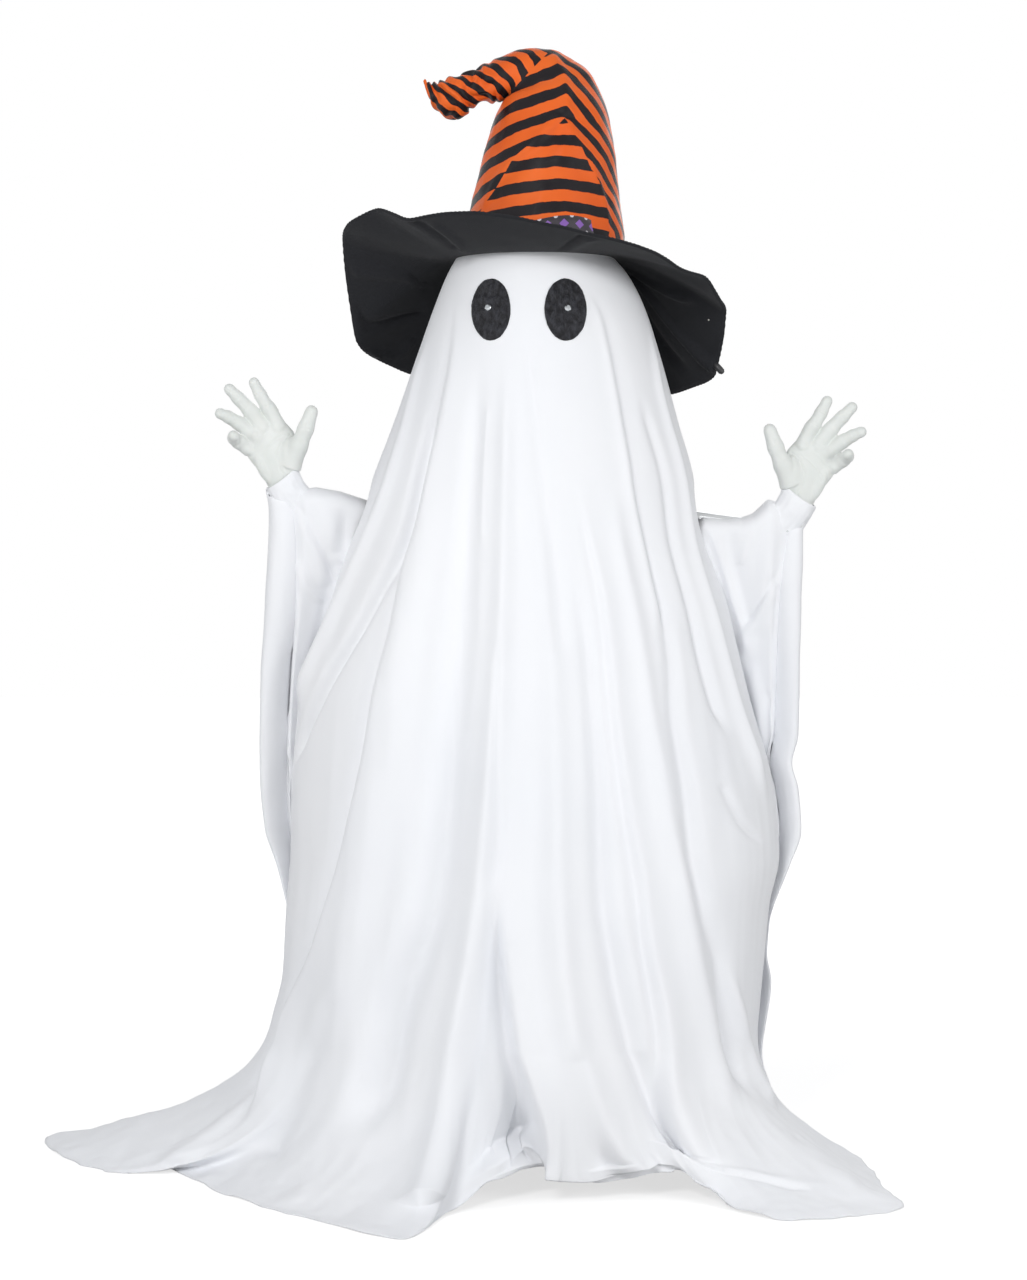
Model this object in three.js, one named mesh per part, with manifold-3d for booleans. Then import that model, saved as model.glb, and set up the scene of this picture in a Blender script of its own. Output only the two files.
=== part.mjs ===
// Life-size ghost figure for seasonal displays: a white cloth figure with posable vinyl hands and a
// floppy striped hat, over a motorised floor stand that turns the torso and lifts the arms.
// Millimetres, +Z up. The origin is the centre of the base plate's underside, and the figure faces -Y.
// Left and right are the figure's own, so its left arm is on +X.
import * as THREE from "three";
import { mergeVertices } from "three/addons/utils/BufferGeometryUtils.js";
import Module from "manifold-3d";

const wasm = await Module();
wasm.setup();

// Fits
const FIT_GAP = 0.3; // between pieces that rest on or plug into each other
const CURVE_GAP = 0.4; // between curved pieces, whose facets come closer than their corners
const SHAFT_PLAY = 0.6; // round a shaft that turns in a hole
const ROUND_SIDES = 18; // flats on a round piece
const MERGE_STEP = 1e-4; // points closer than this are one point

// Base plate, legs and foot caps
const BASE_RADIUS = 110;
const BASE_THICKNESS = 8;
const SOCKET_HEIGHT = 60;
const SOCKET_WALL = 6;
const LEG_ANGLES = { front_left: -45, rear_left: 45, rear_right: 135, front_right: -135 };
const LEG_WIDTH = 20;
const LEG_WALL = 2;
const LEG_REACH = 205; // from the pole's axis to the end of the square tube
const CAP_WALL = 3;
const CAP_GRIP = 18; // length of tube inside a foot cap

// Pole, in three telescoping tubes
const LOWER_POLE_RADIUS = 16;
const POLE_WALL = 1.5;
const POLE_PLAY = 0.5;
const LOWER_POLE_LENGTH = 412;
const MID_POLE_LENGTH = 280;
const MID_POLE_OVERLAP = 60;
const UPPER_POLE_LENGTH = 269.4;
const UPPER_POLE_OVERLAP = 50;
const COLLAR_WALL = 6;
const COLLAR_GRIP = 15;
const CLAMP_SCREW_RADIUS = 4;
const CLAMP_SCREW_LENGTH = 14;
const CLAMP_KNOB_RADIUS = 9;
const CLAMP_KNOB_LENGTH = 10;

// Control box on the middle tube
const BOX_HALF_WIDTH = 52;
const BOX_DEPTH = 40;
const BOX_HEIGHT = 130;
const BOX_WALL = 3;
const BOX_CLAMP_WALL = 5;
const BOX_CLAMP_HEIGHT = 50;
const BOX_STANDOFF = 6; // from the pole's surface to the case
const BOX_WEB_HALF_WIDTH = 8; // between the clamp and the case
const BOARD_POST_RADIUS = 3;
const BOARD_POST_LENGTH = 7;
const BOARD_HALF_WIDTH = 40;
const BOARD_THICKNESS = 1.6;
const BOARD_MARGIN = 20; // from the board to the case's top and bottom
const BOARD_POST_INSET = 8;
const CHIP_HEIGHT = 4;
const CHIPS = [[0, 0, 12, 8], [23, -22, 5, 8]]; // across, up, half width, half height
const CAPACITOR = { x: -26, rise: -24, radius: 4, height: 8 };
const SPEAKER_RADIUS = 22;
const SPEAKER_DEPTH = 14;
const SPEAKER_X = -20;
const SPEAKER_HEADROOM = 8; // from the speaker to the case's ceiling
const GRILLE_SLOTS = 5;
const GRILLE_SLOT_WIDTH = 3;
const GRILLE_MARGIN = 6; // from the slots' ends to the speaker's edge
const CONTROLS_X = 30; // the button and the switch are one above the other here
const BUTTON_RADIUS = 6;
const BUTTON_FLANGE = 2;
const BUTTON_PROUD = 3;
const BUTTON_RISE = 8; // above the speaker's middle
const SWITCH_HALF_WIDTH = 6;
const SWITCH_HALF_HEIGHT = 9;
const SWITCH_PLAY = 1.4;
const SWITCH_DROP = 24; // below the speaker's middle
const ROCKER = { proud: 6, valley: 3.5, depth: 5, taper: 1 };
const JACK_RADIUS = 6;
const JACK_BORE = 2.8;
const JACK_LENGTH = 16;
const JACK_BLIND = 4; // the solid end over the jack's bore
const JACK_FLANGE_RIM = 2.5;
const JACK_PROUD = 3; // below the case
const JACK_FROM_SPEAKER = 5;
const JACK_FROM_COVER = 14;

// Swivel gearbox on top of the pole
const SWIVEL_MODULE = 2.5;
const SWIVEL_GEAR_TEETH = 36;
const SWIVEL_PINION_TEETH = 12;
const SWIVEL_GEAR_FACE = 16;
const PINION_EXTRA_FACE = 4;
const GEARBOX_WALL = 4;
const GEARBOX_HEIGHT = 76;
const GEARBOX_CLEARANCE = 5.5; // from the tooth tips to the wall
const GEARBOX_COVER = 4;
const GEARBOX_SOCKET_HEIGHT = 30;
const GEAR_RISE = 14; // the swivel gear's height over the gearbox floor
const BEARING_RADIUS = 22;
const BEARING_BORE = 8;
const BEARING_HEIGHT = 5;
const SWIVEL_SHAFT_RADIUS = 10;
const PINION_SHAFT_RADIUS = 4;
const SWIVEL_MOTOR_RADIUS = 25;
const SWIVEL_MOTOR_LENGTH = 62;
const MOTOR_BORE_DEPTH = 24;

// Chest, shoulders and neck
const CHEST_RISE = 40; // from the gearbox cover to the chest block
const CHEST_PINION_GAP = 20; // from the chest block to the arm pinions' pitch circles
const CHEST_HALF_DEPTH = 26.7;
const CHEST_HEIGHT = 70;
const SHAFT_GRIP = 28; // length of shaft inside the chest block
const SHOULDER_HALF_SPAN = 140; // from the middle to an arm's pivot
const SHOULDER_RISE = 50; // the pivots' height over the chest block's underside
const PLATE_THICKNESS = 3;
const PLATE_HEIGHT = 50;
const PLATE_END = 25; // plate past a pivot
const PIN_RADIUS = 5;
const PIN_HEAD_RADIUS = 8;
const PIN_HEAD_LENGTH = 5;
const ARM_MODULE = 2;
const ARM_GEAR_TEETH = 36;
const ARM_PINION_TEETH = 12;
const ARM_SECTOR_TEETH = 9; // teeth that the arm's sector gear keeps
const ARM_GEAR_FACE = 10;
const ARM_GEAR_GAP = 3; // behind the front plate
const ARM_PINION_SHAFT_RADIUS = 3;
const ARM_MOTOR_RADIUS = 17;
const ARM_MOTOR_LENGTH = 55;
const ARM_MOTOR_BORE_DEPTH = 20;
const NECK_RADIUS = 15;
const NECK_WALL = 2;
const NECK_LENGTH = 180;
const NECK_GRIP = 30; // length of neck tube inside the chest block
const NECK_STUB = 30; // neck tube above its collar
const NECK_FLANGE_RIM = 4; // flange past the head's open underside
const NECK_FLANGE_THICKNESS = 6;
const NECK_BOSS_HEIGHT = 24;
const NECK_BOSS_WALL = 9;

// Head
const HEAD_HALF_WIDTH = 146;
const HEAD_HALF_HEIGHT = 172;
const HEAD_WALL = 3;
const HEAD_CUT = 14; // height that the open underside takes off the head
const BRIM_SEAT_ANGLE = 55.7; // from the crown down to where the hat sits, in degrees
const EYES = { left: { x: 46, rise: 6 }, right: { x: -70, rise: 6 } };
const EYE_PATCH_HALF_WIDTH = 31;
const EYE_PATCH_HALF_HEIGHT = 48.5;
const EYE_PATCH_THICKNESS = 2;
const EYE_PATCH_GAP = 0.5;
const LENS_RADIUS = 6.5;
const LENS_DEPTH = 5;
const LENS_STEM_RADIUS = 2.5;
const LED_RADIUS = 8;
const LED_LENGTH = 16;
const LED_SETBACK = 1.9; // from the shell's inner face, which curves in round it

// Arms and hands
const ARM_RADIUS = 11;
const ARM_HUB_RADIUS = 17;
const HAND_TILT = 19; // the hands lean outwards, in degrees
const HAND_Y = -20;
// Each wrist's reach from the middle and its rise over the shoulder, and how far past the wrist the
// sleeve's outer edge hangs.
const WRISTS = {
  left: { reach: 434, rise: 19.7, sleevePast: -6 },
  right: { reach: 405, rise: 42.7, sleevePast: 23 },
};
const ELBOW_DROP = 60; // from a wrist down to the corner that the arm's bend rounds off
const ARM_STRAIGHT = 0.9; // share of the way to the elbow that stays straight
const WRIST_GRIP = 24; // length of arm tube inside a hand
const WRIST_STUB = 30; // the hand's sleeve-side end below the wrist

// Cloth
const CLOTH = 2; // thickness of the costume's cloth, with its lining
const CLOTH_GAP = 0.5; // from the head to the cloth that lies on it
const ARMHOLE_HALF_HEIGHT = 68;
const ARMHOLE_HALF_DEPTH = 38;
const SLEEVE_RAIL_GAP = 0.7; // from the arm tube to the sleeve over it
const SLEEVE_MOUTH = 1.6; // the sleeve's opening round the arm, in arm radii
const CUFF_RADIUS = 33;
const CUFF_DEPTH = 62; // the cuff's opening below the wrist

// Hat
const BRIM_THICKNESS = 2.5;
const BRIM_FLAT = 16; // width of the level strip round the head
const HAT_WALL = 2;
const BAND_THICKNESS = 1.5;
const BAND_HEIGHT = 34;
const HAT_SIDES = 16;

// Heights, from the floor up
const lowerPoleBottom = BASE_THICKNESS + FIT_GAP;
const lowerPoleTop = lowerPoleBottom + LOWER_POLE_LENGTH;
const midPoleBottom = lowerPoleTop - MID_POLE_OVERLAP;
const midPoleTop = midPoleBottom + MID_POLE_LENGTH;
const upperPoleBottom = midPoleTop - UPPER_POLE_OVERLAP;
const upperPoleTop = upperPoleBottom + UPPER_POLE_LENGTH;
const gearboxBottom = upperPoleTop + FIT_GAP;
const gearboxFloor = gearboxBottom + GEARBOX_WALL;
const gearboxTop = gearboxBottom + GEARBOX_HEIGHT;
const coverTop = gearboxTop + FIT_GAP + GEARBOX_COVER;
const chestBottom = coverTop + CHEST_RISE;
const chestTop = chestBottom + CHEST_HEIGHT;
const shoulderZ = chestBottom + SHOULDER_RISE;
const neckBottom = chestTop - NECK_GRIP + FIT_GAP;
const neckTop = neckBottom + NECK_LENGTH;
const collarTop = neckTop - NECK_STUB;
const headBottom = collarTop + FIT_GAP;
const headDrop = HEAD_HALF_HEIGHT - HEAD_CUT; // from the head's centre to its open underside
const headZ = headBottom + headDrop;
const midPoleRadius = LOWER_POLE_RADIUS - POLE_WALL - POLE_PLAY;
const upperPoleRadius = midPoleRadius - POLE_WALL - POLE_PLAY;

const radians = THREE.MathUtils.degToRad;
const vec = (x, y, z) => new THREE.Vector3(x, y, z);

// Geometry helpers

// The triangles of a geometry as one closed surface whose faces point out.
function closed(geometry) {
  const bare = new THREE.BufferGeometry();
  bare.setAttribute("position", geometry.getAttribute("position").clone());
  if (geometry.index) bare.setIndex(geometry.index.clone());
  const merged = mergeVertices(bare, MERGE_STEP);
  const at = merged.getAttribute("position");
  const corner = (i) => new THREE.Vector3().fromBufferAttribute(at, i);
  const kept = [];
  let volume = 0;
  for (let i = 0; i < merged.index.count; i += 3) {
    const [a, b, c] = [0, 1, 2].map((k) => merged.index.getX(i + k));
    if (a === b || b === c || c === a) continue;
    kept.push([a, b, c]);
    volume += corner(a).dot(corner(b).cross(corner(c)));
  }
  const facing = volume < 0 ? kept.map(([a, b, c]) => [a, c, b]) : kept;
  merged.setIndex(facing.flat());
  merged.computeVertexNormals();
  return merged;
}

function solid(geometry) {
  const tidy = closed(geometry);
  const vertProperties = new Float32Array(tidy.getAttribute("position").array);
  const triVerts = new Uint32Array(tidy.index.array);
  return new wasm.Manifold(new wasm.Mesh({ numProp: 3, vertProperties, triVerts }));
}

function geometryOf(body) {
  const mesh = body.getMesh();
  const geometry = new THREE.BufferGeometry();
  geometry.setAttribute("position", new THREE.BufferAttribute(new Float32Array(mesh.vertProperties), 3));
  geometry.setIndex(new THREE.BufferAttribute(new Uint32Array(mesh.triVerts), 1));
  return geometry;
}

function join(...pieces) {
  return geometryOf(pieces.map(solid).reduce((whole, piece) => whole.add(piece)));
}

function cut(base, ...tools) {
  return geometryOf(tools.map(solid).reduce((rest, tool) => rest.subtract(tool), solid(base)));
}

function block(x0, x1, y0, y1, z0, z1) {
  const geometry = new THREE.BoxGeometry(x1 - x0, y1 - y0, z1 - z0);
  return geometry.translate((x0 + x1) / 2, (y0 + y1) / 2, (z0 + z1) / 2);
}

// A shape turned round the line between two points, from [radius, distance along the line] pairs.
function turned(profile, from, to, sides) {
  const along = to.clone().sub(from).normalize();
  const points = profile.map(([radius, distance]) => new THREE.Vector2(radius, distance));
  const geometry = new THREE.LatheGeometry(points, sides);
  geometry.applyQuaternion(new THREE.Quaternion().setFromUnitVectors(vec(0, 1, 0), along));
  return geometry.translate(from.x, from.y, from.z);
}

function rod(radius, from, to, sides = ROUND_SIDES) {
  const length = from.distanceTo(to);
  return turned([[0, 0], [radius, 0], [radius, length], [0, length]], from, to, sides);
}

function pipe(outer, inner, from, to, sides = ROUND_SIDES) {
  const length = from.distanceTo(to);
  const profile = [[inner, 0], [outer, 0], [outer, length], [inner, length], [inner, 0]];
  return turned(profile, from, to, sides);
}

function post(radius, z0, z1, x = 0, y = 0, sides = ROUND_SIDES) {
  return rod(radius, vec(x, y, z0), vec(x, y, z1), sides);
}

// A flat outline extruded from z0 to z1.
function slab(shape, z0, z1) {
  const curveSegments = 10;
  const geometry = new THREE.ExtrudeGeometry(shape, { depth: z1 - z0, bevelEnabled: false, curveSegments });
  return geometry.translate(0, 0, z0);
}

// A closed surface through rings of points that all have the same count.
// A cap is a fan round its middle, or a strip between the two halves of a flattened ring.
function loft(rings, strips = false) {
  const count = rings[0].length;
  const points = rings.flat();
  const faces = [];
  for (let row = 0; row + 1 < rings.length; row++) {
    for (let i = 0; i < count; i++) {
      const a = row * count + i;
      const b = row * count + ((i + 1) % count);
      faces.push([a, b, b + count], [a, b + count, a + count]);
    }
  }
  for (const [row, turn] of [[0, false], [rings.length - 1, true]]) {
    const first = row * count;
    const add = (a, b, c) => faces.push(turn ? [a, b, c] : [a, c, b]);
    if (strips) {
      for (let i = 0; i + 1 < count / 2; i++) {
        add(first + i, first + i + 1, first + count - 1 - i);
        add(first + i + 1, first + count - 2 - i, first + count - 1 - i);
      }
    } else {
      const middle = points.length;
      points.push(rings[row].reduce((sum, p) => sum.add(p), vec(0, 0, 0)).divideScalar(count));
      for (let i = 0; i < count; i++) add(first + i, first + ((i + 1) % count), middle);
    }
  }
  return meshOf(points, faces);
}

function meshOf(points, faces) {
  const geometry = new THREE.BufferGeometry().setFromPoints(points);
  geometry.setIndex(faces.flat());
  return geometry;
}

// A thin shell between two grids of rows that run round, each from a tip down to an open edge.
function tipToEdgeShell(outer, inner) {
  const count = outer[0].length;
  const points = [outer, inner].flatMap((side) => side.flat());
  const faces = [];
  const at = (side, row, i) => side * outer.length * count + row * count + (i % count);
  for (const side of [0, 1]) {
    for (let row = 0; row + 1 < outer.length; row++) {
      for (let i = 0; i < count; i++) {
        const quad = [at(side, row, i), at(side, row + 1, i), at(side, row + 1, i + 1), at(side, row, i + 1)];
        if (side) quad.reverse();
        const [a, b, c, d] = quad;
        faces.push(side ? [b, c, d] : [a, b, c], side ? [d, a, b] : [a, c, d]);
      }
    }
  }
  const last = outer.length - 1;
  for (let i = 0; i < count; i++) {
    faces.push([at(0, last, i), at(1, last, i), at(1, last, i + 1)]);
    faces.push([at(0, last, i), at(1, last, i + 1), at(0, last, i + 1)]);
  }
  return meshOf(points, faces);
}

// Straight lines between the rows of a table, whose first column falls.
function lookUp(table, height, column) {
  if (height >= table[0][0]) return table[0][column];
  const next = table.findIndex(([h]) => h <= height);
  if (next < 0) return table[table.length - 1][column];
  const [upper, lower] = [table[next - 1], table[next]];
  const share = (upper[0] - height) / (upper[0] - lower[0]);
  return THREE.MathUtils.lerp(upper[column], lower[column], share);
}

// Tooth sizes: thickness as a share of the pitch, which leaves backlash, and depths as shares of
// the module.
const GEAR_TOOTH = { share: 0.42, rootDepth: 1.2, flankDepth: 0.3, tipHeight: 0.85 };

// A spur gear's outline with involute flanks, one tooth centred on the angle `phase`. With a
// sector of fewer teeth, the rest is a hub.
function gearShape(size, teeth, bore, phase, sector = null) {
  const pitch = (size * teeth) / 2;
  const base = pitch * Math.cos(radians(20));
  const involute = (radius) => {
    const pressure = Math.acos(Math.min(1, base / radius));
    return Math.tan(pressure) - pressure;
  };
  const { share, rootDepth, flankDepth, tipHeight } = GEAR_TOOTH;
  const halfTooth = (radius) => (Math.PI * share) / teeth + involute(pitch) - involute(radius);
  const flankStart = Math.max(pitch - flankDepth * size, base);
  const radii = [pitch - rootDepth * size, flankStart, pitch + tipHeight * size];
  const shape = new THREE.Shape();
  const points = [];
  const made = sector ? sector.teeth : teeth;
  const step = (2 * Math.PI) / teeth;
  for (let tooth = 0; tooth < made; tooth++) {
    const middle = phase + (tooth - (sector ? Math.floor(made / 2) : 0)) * step;
    const flank = radii.map((radius) => [radius, halfTooth(Math.max(radius, base))]);
    for (const [radius, half] of flank) points.push([radius, middle - half]);
    for (const [radius, half] of flank.reverse()) points.push([radius, middle + half]);
  }
  if (sector) {
    const start = points[points.length - 1][1] + step;
    const end = points[0][1] - step + 2 * Math.PI;
    const facets = 10;
    for (let i = 0; i <= facets; i++) points.push([sector.hub, THREE.MathUtils.lerp(start, end, i / facets)]);
  }
  shape.setFromPoints(points.map(([r, t]) => new THREE.Vector2(r * Math.cos(t), r * Math.sin(t))));
  if (bore > 0) shape.holes.push(new THREE.Path().absarc(0, 0, bore, 0, 2 * Math.PI, true));
  return shape;
}

// Two discs, the second at `distance` along +Y, with straight sides between them.
function pearShape(radius, smallRadius, distance) {
  const lean = Math.acos((radius - smallRadius) / distance);
  const shape = new THREE.Shape();
  shape.absarc(0, 0, radius, Math.PI / 2 + lean, Math.PI / 2 - lean + 2 * Math.PI, false);
  shape.absarc(0, distance, smallRadius, Math.PI / 2 - lean, Math.PI / 2 + lean, false);
  return shape;
}

// Materials
function finish(color, roughness, metalness = 0) {
  return () => new THREE.MeshStandardMaterial({ color, roughness, metalness });
}

const finishes = {
  blackMetal: finish(0x242428, 0.5, 0.6),
  zinc: finish(0xb4b8bc, 0.35, 0.9),
  steel: finish(0xc4c7ca, 0.3, 1),
  rubber: finish(0x18181a, 0.9),
  blackPlastic: finish(0x2a2a2c, 0.55),
  nylon: finish(0xe4e1d6, 0.5),
  board: finish(0x1f5a3a, 0.6),
  shellPlastic: finish(0xdedcd6, 0.6),
  vinyl: finish(0xe2e5e4, 0.45),
  cloth: finish(0xeff1f4, 0.85),
  blackCloth: finish(0x2e2e34, 0.9),
  felt: finish(0x2c2c30, 0.95),
  stripedSatin: finish(0xea6a2e, 0.45),
  bandPrint: finish(0x2b2330, 0.6),
  crystal: finish(0xd7dde2, 0.08, 0.1),
};

const figure = new THREE.Group();
figure.name = "ghost_figure";

function addPart(parent, name, geometry, surface) {
  const mesh = new THREE.Mesh(closed(geometry), finishes[surface]());
  mesh.name = name;
  parent.add(mesh);
  return mesh;
}

// Floor stand
const stand = new THREE.Group();
figure.add(stand);

const socketRadius = LOWER_POLE_RADIUS + FIT_GAP;

function basePlate() {
  const plate = post(BASE_RADIUS, 0, BASE_THICKNESS, 0, 0, 32);
  const socket = post(socketRadius + SOCKET_WALL, 0, BASE_THICKNESS + SOCKET_HEIGHT);
  return cut(join(plate, socket), post(socketRadius, BASE_THICKNESS, BASE_THICKNESS + SOCKET_HEIGHT + 1));
}

const legBottom = BASE_THICKNESS + FIT_GAP;
const legStart = socketRadius + SOCKET_WALL + 2;

function legTube() {
  const half = LEG_WIDTH / 2;
  const bore = half - LEG_WALL;
  const middle = legBottom + half;
  const tube = block(legStart, LEG_REACH, -half, half, legBottom, legBottom + LEG_WIDTH);
  return cut(tube, block(legStart - 1, LEG_REACH + 1, -bore, bore, middle - bore, middle + bore));
}

function footCap() {
  const half = LEG_WIDTH / 2 + FIT_GAP;
  const top = legBottom + LEG_WIDTH + FIT_GAP;
  const start = LEG_REACH - CAP_GRIP;
  const end = LEG_REACH + FIT_GAP;
  const body = block(start, end + CAP_WALL, -half - CAP_WALL, half + CAP_WALL, 0, top + CAP_WALL);
  return cut(body, block(start - 1, end, -half, half, BASE_THICKNESS, top));
}

addPart(stand, "base_plate", basePlate(), "blackMetal");
for (const [corner, angle] of Object.entries(LEG_ANGLES)) {
  const leg = addPart(stand, `leg_tube_${corner}`, legTube(), "blackMetal");
  const cap = addPart(stand, `foot_cap_${corner}`, footCap(), "rubber");
  leg.rotation.z = radians(angle);
  cap.rotation.z = radians(angle);
}

const poleTube = (radius, z0, z1) => pipe(radius, radius - POLE_WALL, vec(0, 0, z0), vec(0, 0, z1));

// A collar on the end of one tube, bored for the next and clamped by a knobbed screw.
function poleCollar(outerTube, innerTube, joint) {
  const radius = outerTube + FIT_GAP + COLLAR_WALL;
  const body = post(radius, joint - COLLAR_GRIP, joint + COLLAR_GRIP);
  const screwZ = joint + COLLAR_GRIP / 2;
  const screwStart = -(innerTube + COLLAR_WALL / 2);
  const screwEnd = -(radius + CLAMP_SCREW_LENGTH);
  const screw = rod(CLAMP_SCREW_RADIUS, vec(0, screwStart, screwZ), vec(0, screwEnd - 1, screwZ), 12);
  const knobEnd = vec(0, screwEnd - CLAMP_KNOB_LENGTH, screwZ);
  const knob = rod(CLAMP_KNOB_RADIUS, vec(0, screwEnd, screwZ), knobEnd, 10);
  const lowerBore = post(outerTube + FIT_GAP, joint - COLLAR_GRIP - 1, joint + FIT_GAP);
  const upperBore = post(innerTube + FIT_GAP, joint - 1, joint + COLLAR_GRIP + 1);
  return cut(join(body, screw, knob), lowerBore, upperBore);
}

addPart(stand, "lower_pole", poleTube(LOWER_POLE_RADIUS, lowerPoleBottom, lowerPoleTop), "blackMetal");
addPart(stand, "mid_pole", poleTube(midPoleRadius, midPoleBottom, midPoleTop), "zinc");
addPart(stand, "upper_pole", poleTube(upperPoleRadius, upperPoleBottom, upperPoleTop), "zinc");
addPart(stand, "lower_collar", poleCollar(LOWER_POLE_RADIUS, midPoleRadius, lowerPoleTop), "blackPlastic");
addPart(stand, "upper_collar", poleCollar(midPoleRadius, upperPoleRadius, midPoleTop), "blackPlastic");

// Control box
const caseFront = midPoleRadius + BOX_STANDOFF;
const caseBack = caseFront + BOX_DEPTH;
const caseMiddle = (lowerPoleTop + midPoleTop) / 2; // halfway between the two collars
const caseBottom = caseMiddle - BOX_HEIGHT / 2;
const caseTop = caseMiddle + BOX_HEIGHT / 2;
const boardFront = caseFront + BOX_WALL + BOARD_POST_LENGTH + FIT_GAP;
const coverInside = caseBack + FIT_GAP;
const coverOutside = coverInside + BOX_WALL;
const speakerZ = caseTop - BOX_WALL - SPEAKER_HEADROOM - SPEAKER_RADIUS;
const buttonZ = speakerZ + BUTTON_RISE;
const switchZ = speakerZ - SWITCH_DROP;
const jackX = SPEAKER_X - JACK_FROM_SPEAKER;
const jackY = caseBack - JACK_FROM_COVER;
const boardBottom = caseBottom + BOARD_MARGIN;
const boardTop = caseTop - BOARD_MARGIN;

function boardPosts(radius, y0, y1) {
  const posts = [];
  const half = BOARD_HALF_WIDTH - BOARD_POST_INSET;
  for (const x of [-half, half]) {
    for (const z of [boardBottom + BOARD_POST_INSET, boardTop - BOARD_POST_INSET]) {
      posts.push(rod(radius, vec(x, y0, z), vec(x, y1, z), 10));
    }
  }
  return posts;
}

function controlCase() {
  const clampRadius = midPoleRadius + FIT_GAP + BOX_CLAMP_WALL;
  const [clampLow, clampHigh] = [caseMiddle - BOX_CLAMP_HEIGHT / 2, caseMiddle + BOX_CLAMP_HEIGHT / 2];
  const inner = BOX_HALF_WIDTH - BOX_WALL;
  const shell = cut(
    block(-BOX_HALF_WIDTH, BOX_HALF_WIDTH, caseFront, caseBack, caseBottom, caseTop),
    block(-inner, inner, caseFront + BOX_WALL, caseBack + 1, caseBottom + BOX_WALL, caseTop - BOX_WALL),
    post(JACK_RADIUS + FIT_GAP, caseBottom - 1, caseBottom + BOX_WALL + 1, jackX, jackY),
  );
  const clamp = post(clampRadius, clampLow, clampHigh);
  const webHalf = BOX_WEB_HALF_WIDTH;
  const web = block(-webHalf, webHalf, midPoleRadius, caseFront + 1, clampLow, clampHigh);
  const posts = boardPosts(BOARD_POST_RADIUS, caseFront + 1, boardFront - FIT_GAP);
  const poleBore = post(midPoleRadius + FIT_GAP, clampLow - 1, clampHigh + 1);
  return cut(join(shell, clamp, web, ...posts), poleBore);
}

function controlCover() {
  const plate = block(-BOX_HALF_WIDTH, BOX_HALF_WIDTH, coverInside, coverOutside, caseBottom, caseTop);
  const [y0, y1] = [coverInside - 1, coverOutside + 1];
  const slots = [];
  for (let i = 0; i < GRILLE_SLOTS; i++) {
    const offset = (i - (GRILLE_SLOTS - 1) / 2) * 2 * GRILLE_SLOT_WIDTH;
    const half = Math.sqrt(SPEAKER_RADIUS ** 2 - offset ** 2) - GRILLE_MARGIN;
    const [x0, x1] = [-0.5, 0.5].map((share) => SPEAKER_X + offset + share * GRILLE_SLOT_WIDTH);
    slots.push(block(x0, x1, y0, y1, speakerZ - half, speakerZ + half));
  }
  const buttonRadius = BUTTON_RADIUS + SHAFT_PLAY;
  const buttonHole = rod(buttonRadius, vec(CONTROLS_X, y0, buttonZ), vec(CONTROLS_X, y1, buttonZ));
  const halfWidth = SWITCH_HALF_WIDTH + SHAFT_PLAY;
  const halfHeight = SWITCH_HALF_HEIGHT + SWITCH_PLAY;
  const switchHole = block(
    CONTROLS_X - halfWidth, CONTROLS_X + halfWidth, y0, y1, switchZ - halfHeight, switchZ + halfHeight,
  );
  return cut(plate, ...slots, buttonHole, switchHole);
}

function circuitBoard() {
  const back = boardFront + BOARD_THICKNESS;
  const board = block(-BOARD_HALF_WIDTH, BOARD_HALF_WIDTH, boardFront, back, boardBottom, boardTop);
  const chipBack = back + CHIP_HEIGHT;
  const chips = CHIPS.map(([x, rise, halfWidth, halfHeight]) => {
    const z = caseMiddle + rise;
    return block(x - halfWidth, x + halfWidth, boardFront, chipBack, z - halfHeight, z + halfHeight);
  });
  const { x, rise, radius, height } = CAPACITOR;
  const z = caseMiddle + rise;
  const capacitor = rod(radius, vec(x, boardFront, z), vec(x, back + height, z), 10);
  return join(board, ...chips, capacitor);
}

function speaker() {
  const at = (y) => vec(SPEAKER_X, y, speakerZ);
  return rod(SPEAKER_RADIUS, at(caseBack - SPEAKER_DEPTH), at(caseBack));
}

function powerJack() {
  const bottom = caseBottom - JACK_PROUD;
  const top = caseBottom + JACK_LENGTH;
  const flange = post(JACK_RADIUS + JACK_FLANGE_RIM, bottom, caseBottom - FIT_GAP, jackX, jackY);
  const body = post(JACK_RADIUS, bottom + 1, top, jackX, jackY);
  return cut(join(flange, body), post(JACK_BORE, bottom - 1, top - JACK_BLIND, jackX, jackY, 12));
}

function demoButton() {
  const at = (y) => vec(CONTROLS_X, y, buttonZ);
  const flangeBack = coverInside - FIT_GAP;
  const cap = rod(BUTTON_RADIUS, at(flangeBack - 1), at(coverOutside + BUTTON_PROUD));
  const flange = rod(BUTTON_RADIUS + BUTTON_FLANGE, at(flangeBack - BUTTON_FLANGE), at(flangeBack));
  return join(cap, flange);
}

// A rocker with a shallow valley across its face, pivoted in the cover's mid plane.
function rockerSwitch() {
  const { proud, valley, depth, taper } = ROCKER;
  const outline = new THREE.Shape();
  outline.moveTo(-SWITCH_HALF_HEIGHT, proud);
  outline.lineTo(taper - SWITCH_HALF_HEIGHT, -depth);
  outline.lineTo(SWITCH_HALF_HEIGHT - taper, -depth);
  outline.lineTo(SWITCH_HALF_HEIGHT, proud);
  outline.lineTo(0, valley);
  const rocker = slab(outline, -SWITCH_HALF_WIDTH, SWITCH_HALF_WIDTH);
  return rocker.applyMatrix4(new THREE.Matrix4().makeBasis(vec(0, 0, 1), vec(0, 1, 0), vec(-1, 0, 0)));
}

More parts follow.
